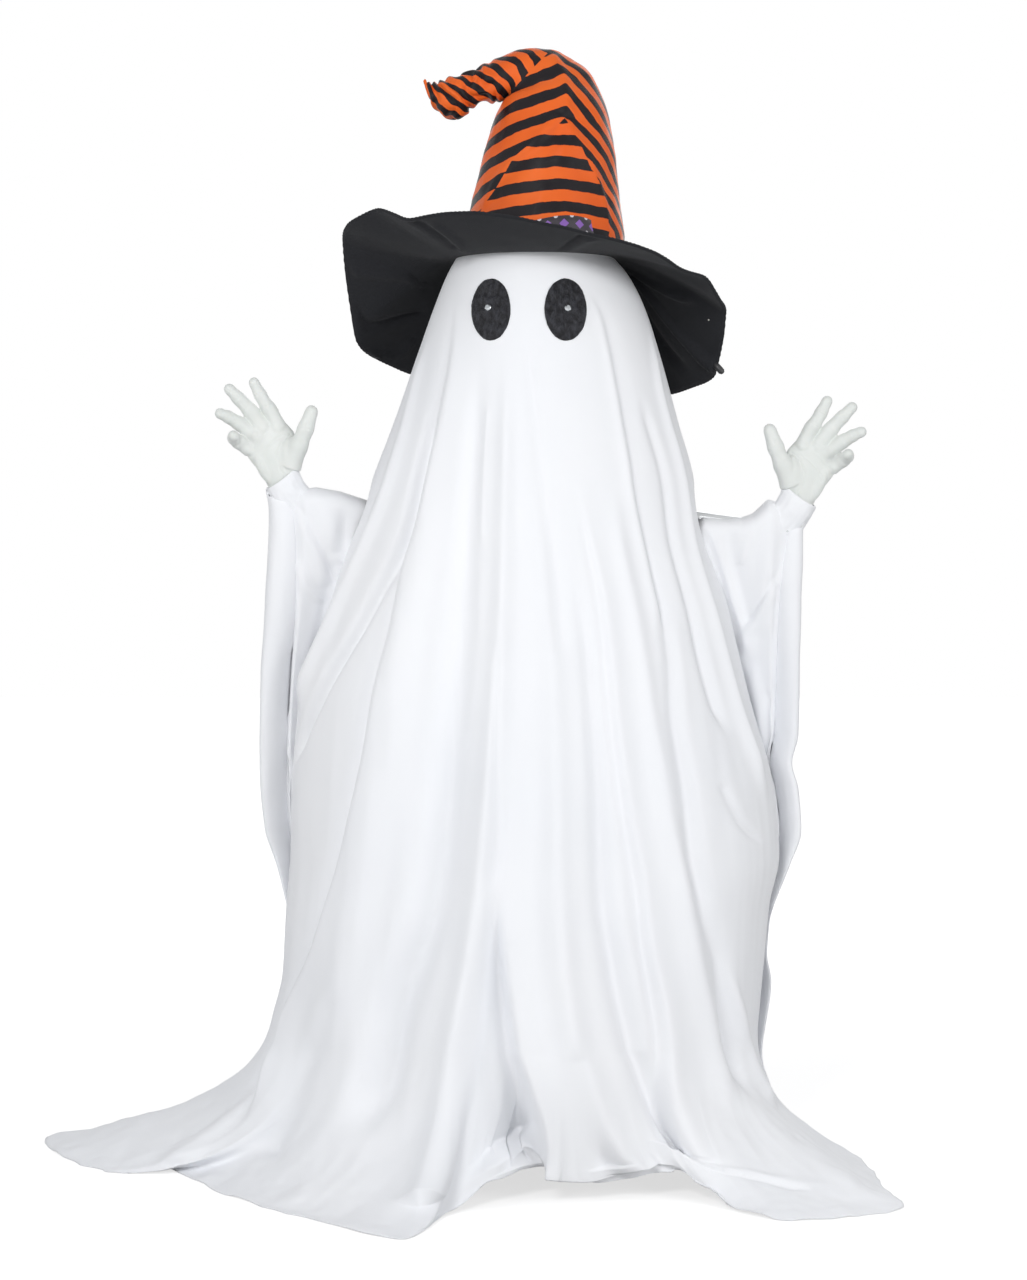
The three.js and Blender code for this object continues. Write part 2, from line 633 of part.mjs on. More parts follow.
addPart(stand, "control_case", controlCase(), "blackPlastic");
addPart(stand, "control_cover", controlCover(), "blackPlastic");
addPart(stand, "circuit_board", circuitBoard(), "board");
addPart(stand, "speaker", speaker(), "blackPlastic");
addPart(stand, "power_jack", powerJack(), "blackPlastic");
addPart(stand, "demo_button", demoButton(), "rubber");
const rocker = addPart(stand, "power_switch", rockerSwitch(), "blackPlastic");
rocker.position.set(CONTROLS_X, (coverInside + coverOutside) / 2, switchZ);

// Swivel gearbox
const swivelPitch = (SWIVEL_MODULE * SWIVEL_GEAR_TEETH) / 2;
const swivelPinionPitch = (SWIVEL_MODULE * SWIVEL_PINION_TEETH) / 2;
const swivelDistance = swivelPitch + swivelPinionPitch;
const gearboxRadius = swivelPitch + SWIVEL_MODULE + GEARBOX_CLEARANCE;
const gearboxSmallRadius = swivelPinionPitch + SWIVEL_MODULE + GEARBOX_CLEARANCE;
const gearBottom = gearboxFloor + GEAR_RISE;
const gearTop = gearBottom + SWIVEL_GEAR_FACE;
const shaftBottom = gearboxFloor + 2 * FIT_GAP + BEARING_HEIGHT;

function gearboxHousing() {
  const [large, small] = [gearboxRadius + GEARBOX_WALL, gearboxSmallRadius + GEARBOX_WALL];
  const body = slab(pearShape(large, small, swivelDistance), gearboxBottom, gearboxTop);
  const inside = pearShape(gearboxRadius, gearboxSmallRadius, swivelDistance);
  const room = slab(inside, gearboxFloor, gearboxTop + 1);
  const socketOuter = upperPoleRadius + FIT_GAP + SOCKET_WALL;
  const socket = post(socketOuter, gearboxBottom - GEARBOX_SOCKET_HEIGHT, gearboxBottom + 1);
  const bore = post(upperPoleRadius + FIT_GAP, gearboxBottom - GEARBOX_SOCKET_HEIGHT - 1, gearboxBottom);
  const shaftHole = post(
    PINION_SHAFT_RADIUS + SHAFT_PLAY, gearboxBottom - 1, gearboxFloor + 1, 0, swivelDistance,
  );
  return cut(join(cut(body, room), socket), bore, shaftHole);
}

function gearboxCover() {
  const [large, small] = [gearboxRadius + GEARBOX_WALL, gearboxSmallRadius + GEARBOX_WALL];
  const plate = slab(pearShape(large, small, swivelDistance), gearboxTop + FIT_GAP, coverTop);
  return cut(plate, post(SWIVEL_SHAFT_RADIUS + SHAFT_PLAY, gearboxTop, coverTop + 1));
}

function swivelPinion() {
  const faceBottom = gearBottom - PINION_EXTRA_FACE / 2;
  const faceTop = gearTop + PINION_EXTRA_FACE / 2;
  const phase = Math.PI / SWIVEL_PINION_TEETH - Math.PI / 2; // a gap, not a tooth, faces the large gear
  const teeth = slab(gearShape(SWIVEL_MODULE, SWIVEL_PINION_TEETH, 0, phase), faceBottom, faceTop);
  const shaftEnd = gearboxBottom - MOTOR_BORE_DEPTH;
  return join(teeth, post(PINION_SHAFT_RADIUS, shaftEnd, faceTop));
}

function swivelMotor() {
  const top = gearboxBottom - FIT_GAP;
  const can = post(SWIVEL_MOTOR_RADIUS, top - SWIVEL_MOTOR_LENGTH, top);
  return cut(can, post(PINION_SHAFT_RADIUS + SHAFT_PLAY, top - MOTOR_BORE_DEPTH, top + 1));
}

function thrustBearing() {
  const bottom = gearboxFloor + FIT_GAP;
  return pipe(BEARING_RADIUS, BEARING_BORE, vec(0, 0, bottom), vec(0, 0, bottom + BEARING_HEIGHT));
}

addPart(stand, "gearbox_housing", gearboxHousing(), "blackPlastic");
addPart(stand, "gearbox_cover", gearboxCover(), "blackPlastic");
addPart(stand, "thrust_bearing", thrustBearing(), "steel");
addPart(stand, "swivel_motor", swivelMotor(), "zinc").position.y = swivelDistance;
addPart(stand, "swivel_pinion", swivelPinion(), "nylon").position.y = swivelDistance;

// Torso: everything that turns with the swivel shaft
const torso = new THREE.Group();
figure.add(torso);

function swivelGear() {
  const bore = SWIVEL_SHAFT_RADIUS + FIT_GAP;
  return slab(gearShape(SWIVEL_MODULE, SWIVEL_GEAR_TEETH, bore, Math.PI / 2), gearBottom, gearTop);
}

addPart(torso, "swivel_gear", swivelGear(), "nylon");
addPart(torso, "swivel_shaft", post(SWIVEL_SHAFT_RADIUS, shaftBottom, chestBottom + SHAFT_GRIP), "steel");

const armPitch = (ARM_MODULE * ARM_GEAR_TEETH) / 2;
const armPinionPitch = (ARM_MODULE * ARM_PINION_TEETH) / 2;
const armPinionX = SHOULDER_HALF_SPAN - armPitch - armPinionPitch;

function chestBlock() {
  const halfWidth = armPinionX - armPinionPitch - CHEST_PINION_GAP;
  const half = CHEST_HALF_DEPTH;
  const body = block(-halfWidth, halfWidth, -half, half, chestBottom, chestTop);
  return cut(
    body,
    post(SWIVEL_SHAFT_RADIUS + FIT_GAP, chestBottom - 1, chestBottom + SHAFT_GRIP + FIT_GAP),
    post(NECK_RADIUS + FIT_GAP, chestTop - NECK_GRIP, chestTop + 1),
  );
}

const plateInside = CHEST_HALF_DEPTH + FIT_GAP;
const plateOutside = plateInside + PLATE_THICKNESS;

// One of the two plates that carry the arms' pivots, in front of or behind the chest block.
function shoulderPlate(side) {
  const reach = SHOULDER_HALF_SPAN + PLATE_END;
  const [y0, y1] = side < 0 ? [-plateOutside, -plateInside] : [plateInside, plateOutside];
  const plate = block(-reach, reach, y0, y1, shoulderZ - PLATE_HEIGHT / 2, shoulderZ + PLATE_HEIGHT / 2);
  const hole = (radius, x) => rod(radius, vec(x, y0 - 1, shoulderZ), vec(x, y1 + 1, shoulderZ), 20);
  const pinHoles = [-1, 1].map((way) => hole(PIN_RADIUS + FIT_GAP, way * SHOULDER_HALF_SPAN));
  const shaftHoles = [-1, 1].map((way) => hole(ARM_PINION_SHAFT_RADIUS + SHAFT_PLAY, way * armPinionX));
  return cut(plate, ...pinHoles, ...(side > 0 ? shaftHoles : []));
}

// A rivet through both plates, on which an arm turns.
function shoulderPin() {
  const headInside = plateOutside + FIT_GAP;
  const headOutside = headInside + PIN_HEAD_LENGTH;
  return join(
    rod(PIN_RADIUS, vec(0, -headOutside, 0), vec(0, headOutside, 0), 20),
    rod(PIN_HEAD_RADIUS, vec(0, -headOutside, 0), vec(0, -headInside, 0), 20),
    rod(PIN_HEAD_RADIUS, vec(0, headInside, 0), vec(0, headOutside, 0), 20),
  );
}

function armMotor() {
  const front = plateOutside + FIT_GAP;
  const can = rod(ARM_MOTOR_RADIUS, vec(0, front, 0), vec(0, front + ARM_MOTOR_LENGTH, 0));
  const bore = rod(
    ARM_PINION_SHAFT_RADIUS + SHAFT_PLAY, vec(0, front - 1, 0), vec(0, front + ARM_MOTOR_BORE_DEPTH, 0), 16,
  );
  return cut(can, bore);
}

const armGearBack = plateInside - ARM_GEAR_GAP;
const armGearFront = armGearBack - ARM_GEAR_FACE;

// Turns an outline drawn in X and Y into a slice between two depths, in X and Z.
function sliceAlongY(shape, y0, y1) {
  return slab(shape, -y1, -y0).rotateX(Math.PI / 2);
}

function armPinion(side) {
  const facing = side > 0 ? 0 : Math.PI;
  const gap = Math.PI / ARM_PINION_TEETH;
  const outline = gearShape(ARM_MODULE, ARM_PINION_TEETH, 0, facing + gap);
  const teeth = sliceAlongY(outline, armGearFront - 1, armGearBack + 1);
  const shaftEnd = plateOutside + ARM_MOTOR_BORE_DEPTH;
  return join(teeth, rod(ARM_PINION_SHAFT_RADIUS, vec(0, armGearBack, 0), vec(0, shaftEnd, 0), 16));
}

function neckTube() {
  return pipe(NECK_RADIUS, NECK_RADIUS - NECK_WALL, vec(0, 0, neckBottom), vec(0, 0, neckTop));
}

// A boss on the neck tube with a flange that the head's open underside rests on.
function neckCollar() {
  const flangeBottom = collarTop - NECK_FLANGE_THICKNESS;
  const bossBottom = flangeBottom - NECK_BOSS_HEIGHT;
  const mouthRadius = HEAD_HALF_WIDTH * Math.sqrt(1 - (headDrop / HEAD_HALF_HEIGHT) ** 2);
  const boss = post(NECK_RADIUS + NECK_BOSS_WALL, bossBottom, collarTop);
  const flange = post(mouthRadius + NECK_FLANGE_RIM, flangeBottom, collarTop, 0, 0, 32);
  return cut(join(boss, flange), post(NECK_RADIUS + FIT_GAP, bossBottom - 1, collarTop + 1));
}

addPart(torso, "chest_block", chestBlock(), "blackPlastic");
addPart(torso, "shoulder_plate_front", shoulderPlate(-1), "zinc");
addPart(torso, "shoulder_plate_rear", shoulderPlate(1), "zinc");
addPart(torso, "neck_tube", neckTube(), "zinc");
addPart(torso, "neck_collar", neckCollar(), "blackPlastic");
for (const [name, side] of [["left", 1], ["right", -1]]) {
  const place = (mesh, x) => mesh.position.set(side * x, 0, shoulderZ);
  place(addPart(torso, `${name}_shoulder_pin`, shoulderPin(), "steel"), SHOULDER_HALF_SPAN);
  place(addPart(torso, `${name}_arm_motor`, armMotor(), "zinc"), armPinionX);
  place(addPart(torso, `${name}_arm_pinion`, armPinion(side), "nylon"), armPinionX);
}

// Costume sheet, read by every cloth piece that lies against it.
// The columns run round the figure: angle from the front towards +X in degrees, how far the fold
// stands out as a share of the level's fold depth, and where the column ends on the floor.
const FOLDS = [
  [-169, -1, -90, 455, 8],
  [-158, 1, -182, 450, 0],
  [-148, -1, -255, 395, 12],
  [-138, 1, -330, 370, 0],
  [-128, -1, -395, 300, 10],
  [-118, 1, -490, 215, 20],
  [-100, -1, -610, 110, 30],
  [-78, 1.2, -804, 73, 0],
  [-65, -0.8, -727, -105, 0],
  [-52, 1.1, -652, -193, 0],
  [-44.6, -1.7, -555, -215, 0],
  [-33, 1, -436, -364, 0],
  [-25, -0.8, -300, -490, 0],
  [-18, 1.3, -185, -583, 0],
  [-7, -2, -70, -385, 26],
  [3, 0.8, 15, -340, 45],
  [12, -1, 92, -345, 32],
  [23, 1.2, 220, -335, 40],
  [37.6, -0.6, 290, -390, 10],
  [47, 1, 370, -475, 0],
  [54, -0.8, 450, -440, 0],
  [62, 1.2, 557, -382, 0],
  [70, -0.8, 532, -271, 0],
  [80, 1, 515, -60, 0],
  [100, -1, 440, 90, 20],
  [118, 1, 425, 240, 30],
  [128, -1, 365, 290, 10],
  [138, 1, 325, 365, 0],
  [148, -1, 250, 395, 12],
  [158, 1, 180, 450, 0],
  [169, -1, 90, 455, 8],
  [180, 1, 0, 485, 0],
];
const SIDE_FOLD = 100; // the angle of the two deep side folds, in which the sleeves hang
// Levels from the crown down: height as a share of the head centre's height, half width on the
// figure's left and right, half depth, fold depth and the depth of the two side folds.
const SHEET_LEVELS = [
  [1.054, HEAD_HALF_WIDTH - 6, HEAD_HALF_WIDTH - 6, HEAD_HALF_WIDTH - 7, 0, 0],
  [1.015, HEAD_HALF_WIDTH + 14, HEAD_HALF_WIDTH + 14, HEAD_HALF_WIDTH + 5, 0, 0],
  [0.96, HEAD_HALF_WIDTH + 40, HEAD_HALF_WIDTH + 40, HEAD_HALF_WIDTH + 19, 0, 0],
  [0.877, 225, 225, 185, 3, 3],
  [0.817, 258, 258, 199, 6, 6],
  [0.745, 285, 285, 215, 8, 10],
  [0.655, 328, 330, 242, 10, 26],
  [0.55, 362, 378, 271, 13, 44],
  [0.429, 374, 398, 298, 16, 56],
  [0.301, 364, 397, 328, 19, 52],
  [0.17, 354, 412, 362, 22, 40],
];
// Rings below the levels, where the cloth sweeps out over the floor: how far they lie on the way
// out to the hem and on the way down to it.
const SWEEP = [
  [0.23, 0.56],
  [0.55, 0.8],
];
const CROWN_ANGLES = [0, 19, 38, BRIM_SEAT_ANGLE];

// The smooth sheet's half width at a height, on the side whose x has the sign of `side`.
const halfWidthAt = (z, side) => lookUp(SHEET_LEVELS, z / headZ, side > 0 ? 1 : 2);
const halfDepthAt = (z) => lookUp(SHEET_LEVELS, z / headZ, 3);

// A point of the smooth sheet, without folds, moved out by `offset`.
function drapePoint(angle, z, offset) {
  const width = halfWidthAt(z, Math.sin(angle)) + offset;
  const depth = halfDepthAt(z) + offset;
  return vec(width * Math.sin(angle), -depth * Math.cos(angle), z);
}

function crownPoint(angle, down, offset) {
  const radius = (HEAD_HALF_WIDTH + offset) * Math.sin(down);
  const z = headZ + (HEAD_HALF_HEIGHT + offset) * Math.cos(down);
  return vec(radius * Math.sin(angle), -radius * Math.cos(angle), z);
}

function levelRing([share, leftWidth, rightWidth, depth, fold, sideFold]) {
  return FOLDS.map(([degrees, standing]) => {
    const angle = radians(degrees);
    const width = degrees > 0 ? leftWidth : rightWidth;
    const out = Math.abs(degrees) === SIDE_FOLD ? -sideFold : fold * standing;
    return vec((width + out) * Math.sin(angle), -(depth + out) * Math.cos(angle), share * headZ);
  });
}

// Points of a grid moved inwards by the cloth's thickness, square to the surface.
function innerGrid(rows) {
  const count = rows[0].length;
  return rows.map((row, r) =>
    row.map((point, i) => {
      const across = row[(i + 1) % count].clone().sub(row[(i + count - 1) % count]);
      const above = rows[Math.max(r - 1, 0)][i];
      const below = rows[Math.min(r + 1, rows.length - 1)][i];
      const normal = across.cross(above.clone().sub(below)).normalize();
      return point.clone().addScaledVector(normal, -CLOTH);
    }),
  );
}

function sheetShell() {
  const crown = (offset) =>
    CROWN_ANGLES.map((down) => FOLDS.map(([degrees]) => crownPoint(radians(degrees), radians(down), offset)));
  const levels = SHEET_LEVELS.map(levelRing);
  const hem = FOLDS.map(([, , x, y, z]) => vec(x, y, z));
  const lowest = levels[levels.length - 1];
  for (const [out, down] of SWEEP) {
    levels.push(
      lowest.map(({ x, y, z }, i) =>
        vec(
          THREE.MathUtils.lerp(x, hem[i].x, out),
          THREE.MathUtils.lerp(y, hem[i].y, out),
          THREE.MathUtils.lerp(z, hem[i].z, down),
        ),
      ),
    );
  }
  const outer = [...levels, hem];
  const inner = innerGrid(outer).slice(0, levels.length);
  const raisedHem = hem.map((point) => point.clone().add(vec(0, 0, CLOTH)));
  return tipToEdgeShell(
    [...crown(CLOTH_GAP + CLOTH), ...levels, raisedHem],
    [...crown(CLOTH_GAP), ...inner, hem],
  );
}

// An upright oval through one side of the sheet, for an arm.
function armhole(side) {
  const sheetX = halfWidthAt(shoulderZ, side);
  const reach = ARMHOLE_HALF_HEIGHT;
  const hole = rod(ARMHOLE_HALF_HEIGHT, vec(sheetX - reach, 0, 0), vec(sheetX + reach, 0, 0), 12);
  hole.scale(side, ARMHOLE_HALF_DEPTH / ARMHOLE_HALF_HEIGHT, 1);
  return hole.translate(0, HAND_Y / 2, shoulderZ);
}

// Eyes: each has an axis that points out level from the middle of the head.
function eyeAxis({ x, rise }) {
  const z = headZ + rise;
  const angle = Math.asin(x / halfWidthAt(z, x));
  const surface = drapePoint(angle, z, 0);
  const outward = vec(surface.x, surface.y, 0).normalize();
  return { z, angle, outward, surfaceRadius: Math.hypot(surface.x, surface.y) };
}

const alongAxis = (eye, distance) => vec(0, 0, eye.z).addScaledVector(eye.outward, distance);

// The hole for a lens's stem, through the head's shell, the sheet and the patch.
function stemHole(eye) {
  const [start, end] = [HEAD_HALF_WIDTH / 2, eye.surfaceRadius + LENS_DEPTH + EYE_PATCH_HALF_WIDTH];
  return rod(LENS_STEM_RADIUS + FIT_GAP, alongAxis(eye, start), alongAxis(eye, end), 12);
}

function headShell() {
  const angles = FOLDS.map(([degrees]) => radians(degrees));
  const grid = (inset) => {
    const halfWidth = HEAD_HALF_WIDTH - inset;
    const halfHeight = HEAD_HALF_HEIGHT - inset;
    const bottom = Math.acos(-headDrop / halfHeight);
    const eyeLevel = Math.acos(EYES.left.rise / halfHeight);
    const downs = [...CROWN_ANGLES.map(radians), (radians(BRIM_SEAT_ANGLE) + eyeLevel) / 2, eyeLevel];
    for (const share of [0.35, 0.7, 1]) downs.push(THREE.MathUtils.lerp(eyeLevel, bottom, share));
    return downs.map((down) =>
      angles.map((angle) => {
        const radius = halfWidth * Math.sin(down);
        return vec(radius * Math.sin(angle), -radius * Math.cos(angle), headZ + halfHeight * Math.cos(down));
      }),
    );
  };
  return tipToEdgeShell(grid(0), grid(HEAD_WALL));
}

function headHalf(side) {
  const far = HEAD_HALF_WIDTH + HEAD_HALF_HEIGHT;
  const [y0, y1] = side < 0 ? [-FIT_GAP / 2, far] : [-far, FIT_GAP / 2];
  return cut(headShell(), block(-far, far, y0, y1, headZ - far, headZ + far));
}

// The distance along an eye's axis at which it leaves the head's inner face.
function shellInside(eye) {
  const rise = (eye.z - headZ) / (HEAD_HALF_HEIGHT - HEAD_WALL);
  return (HEAD_HALF_WIDTH - HEAD_WALL) * Math.sqrt(1 - rise ** 2);
}

function eyeLed(eye) {
  const front = shellInside(eye) - LED_SETBACK;
  const body = rod(LED_RADIUS, alongAxis(eye, front - LED_LENGTH), alongAxis(eye, front), 16);
  const [holeStart, holeEnd] = [alongAxis(eye, front - LED_LENGTH / 2), alongAxis(eye, front + 1)];
  return cut(body, rod(LENS_STEM_RADIUS + FIT_GAP, holeStart, holeEnd, 12));
}

// An oval of black cloth that follows the sheet, in rings from its middle to its edge.
function eyePatch(eye) {
  const sides = 16;
  const ringShares = [0.35, 0.7, 1];
  const centreX = eye.surfaceRadius * eye.outward.x;
  const place = (dx, dz, offset) => {
    const z = eye.z + dz;
    const x = centreX + dx;
    return drapePoint(Math.asin(x / (halfWidthAt(z, x) + offset)), z, offset);
  };
  const ring = (share, offset) =>
    Array.from({ length: sides }, (_, i) => {
      const turn = (i * 2 * Math.PI) / sides;
      const dx = EYE_PATCH_HALF_WIDTH * share * Math.cos(turn);
      return place(dx, EYE_PATCH_HALF_HEIGHT * share * Math.sin(turn), offset);
    });
  const centre = (offset) => Array.from({ length: sides }, () => place(0, 0, offset));
  const skin = (offset) => [centre(offset), ...ringShares.map((share) => ring(share, offset))];
  const patch = tipToEdgeShell(skin(EYE_PATCH_GAP + EYE_PATCH_THICKNESS), skin(EYE_PATCH_GAP));
  return cut(patch, stemHole(eye));
}

// A cut crystal with eight sides, on a stem through the patch, the sheet and the shell.
function eyeLens(eye) {
  const slope = (halfDepthAt(eye.z - LENS_RADIUS) - halfDepthAt(eye.z + LENS_RADIUS)) / 2;
  const seat = eye.surfaceRadius + EYE_PATCH_GAP + EYE_PATCH_THICKNESS + Math.abs(slope) + 2 * FIT_GAP;
  const stemStart = shellInside(eye) - LED_SETBACK - LED_LENGTH / 2 + FIT_GAP;
  const [girdle, table] = [1.2, 0.6 * LENS_RADIUS];
  const gem = turned(
    [[0, 0], [LENS_RADIUS, 0], [LENS_RADIUS, girdle], [table, LENS_DEPTH], [0, LENS_DEPTH]],
    alongAxis(eye, seat),
    alongAxis(eye, seat + LENS_DEPTH),
    8,
  );
  return join(gem, rod(LENS_STEM_RADIUS, alongAxis(eye, stemStart), alongAxis(eye, seat + 1), 12));
}

const eyes = Object.entries(EYES).map(([name, place]) => [name, eyeAxis(place)]);
const stemHoles = eyes.map(([, eye]) => stemHole(eye));
addPart(torso, "head_shell_front", cut(headHalf(-1), ...stemHoles), "shellPlastic");
addPart(torso, "head_shell_rear", headHalf(1), "shellPlastic");
for (const [name, eye] of eyes) {
  addPart(torso, `${name}_eye_led`, eyeLed(eye), "zinc");
  addPart(torso, `${name}_eye_patch`, eyePatch(eye), "blackCloth");
  addPart(torso, `${name}_eye_lens`, eyeLens(eye), "crystal");
}
addPart(torso, "main_sheet", cut(sheetShell(), armhole(1), armhole(-1), ...stemHoles), "cloth");

// Hat. The brim's rim: angle from the front towards +X, reach from the head's axis, and height
// over the seat on the head.
const BRIM_RIM = [
  [-180, 292, -200],
  [-160, 298, -185],
  [-133, 292, -169],
  [-108, 302, -125],
  [-97, 304, -22],
  [-80, 299, 44],
  [-64, 272, 63],
  [-45, 268, 42],
  [-21, 257, 47],
  [2, 251, 28],
  [15, 250, 18],
  [30, 254, 4],
  [44, 262, -10],
  [69, 278, -37],
  [82, 295, -69],
  [92, 304, -85],
  [108, 306, -182],
  [131, 303, -204],
  [160, 296, -210],
  [180, 292, -200],
];
const BRIM_DROP_POWER = 1.4; // the brim leaves the head level and bends on its way out
const BRIM_STEPS = [0.3, 0.65, 1];
const seatZ = headZ + (HEAD_HALF_HEIGHT + CLOTH_GAP + CLOTH) * Math.cos(radians(BRIM_SEAT_ANGLE));
const seatRadius = (HEAD_HALF_WIDTH + CLOTH_GAP + CLOTH) * Math.sin(radians(BRIM_SEAT_ANGLE));
const brimInside = seatRadius + CURVE_GAP;
const brimTop = seatZ + BRIM_THICKNESS;

function hatBrim() {
  const rimAt = (degrees) => {
    const next = Math.max(1, BRIM_RIM.findIndex(([angle]) => angle >= degrees));
    const [low, high] = [BRIM_RIM[next - 1], BRIM_RIM[next]];
    const share = (degrees - low[0]) / (high[0] - low[0]);
    return [1, 2].map((k) => THREE.MathUtils.lerp(low[k], high[k], share));
  };
  const sections = FOLDS.map(([degrees]) => {
    const angle = radians(degrees);
    const [reach, rise] = rimAt(degrees);
    const flat = brimInside + BRIM_FLAT;
    const line = [[brimInside, 0], [flat, 0]];
    for (const step of BRIM_STEPS) {
      line.push([flat + (reach - flat) * step, rise * step ** BRIM_DROP_POWER]);
    }
    const outward = vec(Math.sin(angle), -Math.cos(angle), 0);
    const place = (lift) =>
      line.map(([radius, height]) => vec(0, 0, seatZ + height + lift).addScaledVector(outward, radius));
    return [...place(0), ...place(BRIM_THICKNESS).reverse()];
  });
  return ringOf(sections);
}

// A closed ring through cross-sections that follow each other round. The second half of a section
// faces the first, so its squares are split along the other diagonal and the wall keeps its thickness.
function ringOf(sections) {
  const count = sections[0].length;
  const points = sections.flat();
  const faces = [];
  sections.forEach((_, s) => {
    for (let i = 0; i < count; i++) {
      const a = s * count + i;
      const b = s * count + ((i + 1) % count);
      const c = ((s + 1) % sections.length) * count + i;
      const d = ((s + 1) % sections.length) * count + ((i + 1) % count);
      faces.push(...(i < count / 2 ? [[a, b, d], [a, d, c]] : [[a, b, c], [b, d, c]]));
    }
  });
  return meshOf(points, faces);
}

const CONE_BASE_MARGIN = { across: 5.3, deep: 4.8 }; // the cone's base outside the brim's hole
const CONE_LOW_MARGIN = 2.3;

// The cone's spine from its base to its tip: across, height over the brim, how far the ring
// leans towards -X in degrees, half its size across and half its depth.
const HAT_SPINE = [
  [1, 0.8, 0, seatRadius + CONE_BASE_MARGIN.across, seatRadius + CONE_BASE_MARGIN.deep],
  [15, 42, 0, seatRadius + CONE_LOW_MARGIN, seatRadius + CONE_LOW_MARGIN],
  [19, 76, 0, 120, 120],
  [23, 135, 2, 108, 108],
  [25, 190, 4, 96, 95],
  [29, 236, 10, 80, 80],
  [6, 282, 48, 58, 66],
  [-27, 291, 84, 37, 52],
  [-58, 285, 100, 32, 42],
  [-85, 277, 104, 27, 34],
  [-110, 266, 98, 31, 30],
  [-130, 256, 90, 33, 27],
  [-148, 256, 70, 26, 20],
  [-164, 268, 55, 13, 11],
  [-176, 283, 45, 3, 3],
];
const HOLLOW_RINGS = 6; // rings of the spine that the cone's inside follows

function hatRing([x, rise, lean, half, depth], grow) {
  const tilt = radians(lean);
  return Array.from({ length: HAT_SIDES }, (_, i) => {
    const turn = (i * 2 * Math.PI) / HAT_SIDES;
    const across = (half + grow) * Math.sin(turn);
    const height = brimTop + rise + across * Math.sin(tilt);
    return vec(x + across * Math.cos(tilt), -(depth + grow) * Math.cos(turn), height);
  });
}

function hatCone() {
  const outside = loft(HAT_SPINE.map((ring) => hatRing(ring, 0)));
  const [x, rise, ...size] = HAT_SPINE[0];
  const below = [x, rise - BAND_HEIGHT, ...size];
  const room = [below, ...HAT_SPINE.slice(0, HOLLOW_RINGS)];
  return cut(outside, loft(room.map((ring) => hatRing(ring, -HAT_WALL))));
}

// The band follows the cone's two lowest rings.
function hatBand() {
  const [low, high] = HAT_SPINE;
  const start = BAND_THICKNESS;
  const ringAt = (height, grow) => {
    const share = (height - low[1]) / (high[1] - low[1]);
    return hatRing(low.map((value, k) => THREE.MathUtils.lerp(value, high[k], share)), grow);
  };
  const [bottom, top] = [low[1] + start, low[1] + start + BAND_HEIGHT];
  const [inner, outer] = [CURVE_GAP, CURVE_GAP + BAND_THICKNESS];
  const skins = [ringAt(bottom, inner), ringAt(bottom, outer), ringAt(top, outer), ringAt(top, inner)];
  return ringOf(skins[0].map((_, i) => skins.map((skin) => skin[i])));
}

addPart(torso, "hat_brim", hatBrim(), "felt");
addPart(torso, "hat_cone", hatCone(), "stripedSatin");
addPart(torso, "hat_band", hatBand(), "bandPrint");

// Arms and hands. A hand's own frame: wrist at the origin, fingers up +Z, palm towards -Y and
// thumb towards -X on the left hand, which the right hand mirrors.
const PALM_RINGS = [
  // height over the wrist, middle, half width, half thickness
  [-WRIST_STUB, 0, 21, 17],
  [0, 0, 24, 17],
  [25, -3, 33, 18],
  [50, -3, 41, 18],
  [75, 0, 42, 15],
  [92, 4, 38, 12],
  [101, 5, 30, 7],
];
// Each finger's points from root to tip: across, depth, height, radius.
const FINGERS = {
  index: [[-22, 0, 84, 10], [-18, -2, 112, 9.5], [-13, -6, 138, 8.5], [-9, -8, 162, 7.5]],
  middle: [[0, 0, 88, 10], [9, -2, 118, 9.5], [20, -7, 144, 8.5], [31, -11, 165, 7.5]],
  ring: [[20, 0, 84, 9.5], [33, -4, 106, 9], [46, -12, 123, 8.5], [57, -18, 132, 7.5]],
  little: [[34, 0, 66, 9], [44, -8, 80, 8.5], [49, -22, 88, 8], [46, -36, 90, 7]],
  thumb: [[-22, -4, 22, 15], [-46, -12, 46, 12.5], [-64, -16, 66, 10.5], [-80, -16, 88, 8.5]],
};

// A rounded limb through points with radii, closed at both ends.
function limb(points, sides = 7) {
  const path = new THREE.CatmullRomCurve3(points.map(([x, y, z]) => vec(x, y, z)));
  const shares = [0, 0.25, 0.5, 0.75, 1];
  const radiusAt = (share) => {
    const place = share * (points.length - 1);
    const low = Math.min(Math.floor(place), points.length - 2);
    return THREE.MathUtils.lerp(points[low][3], points[low + 1][3], place - low);
  };
  const ring = (centre, direction, radius) => {
    const side = vec(0, 1, 0).cross(direction).normalize();
    const front = direction.clone().cross(side).normalize();
    return Array.from({ length: sides }, (_, i) => {
      const turn = (i * 2 * Math.PI) / sides;
      const out = side.clone().multiplyScalar(radius * Math.cos(turn));
      return centre.clone().add(out).addScaledVector(front, radius * Math.sin(turn));
    });
  };
  const rings = shares.map((share) => ring(path.getPoint(share), path.getTangent(share), radiusAt(share)));
  const tipRadius = points[points.length - 1][3];
  const tip = path.getPoint(1);
  const outward = path.getTangent(1);
  for (const [ahead, size] of [[0.55, 0.82], [0.9, 0.42]]) {
    rings.push(ring(tip.clone().addScaledVector(outward, ahead * tipRadius), outward, size * tipRadius));
  }
  return loft(rings);
}

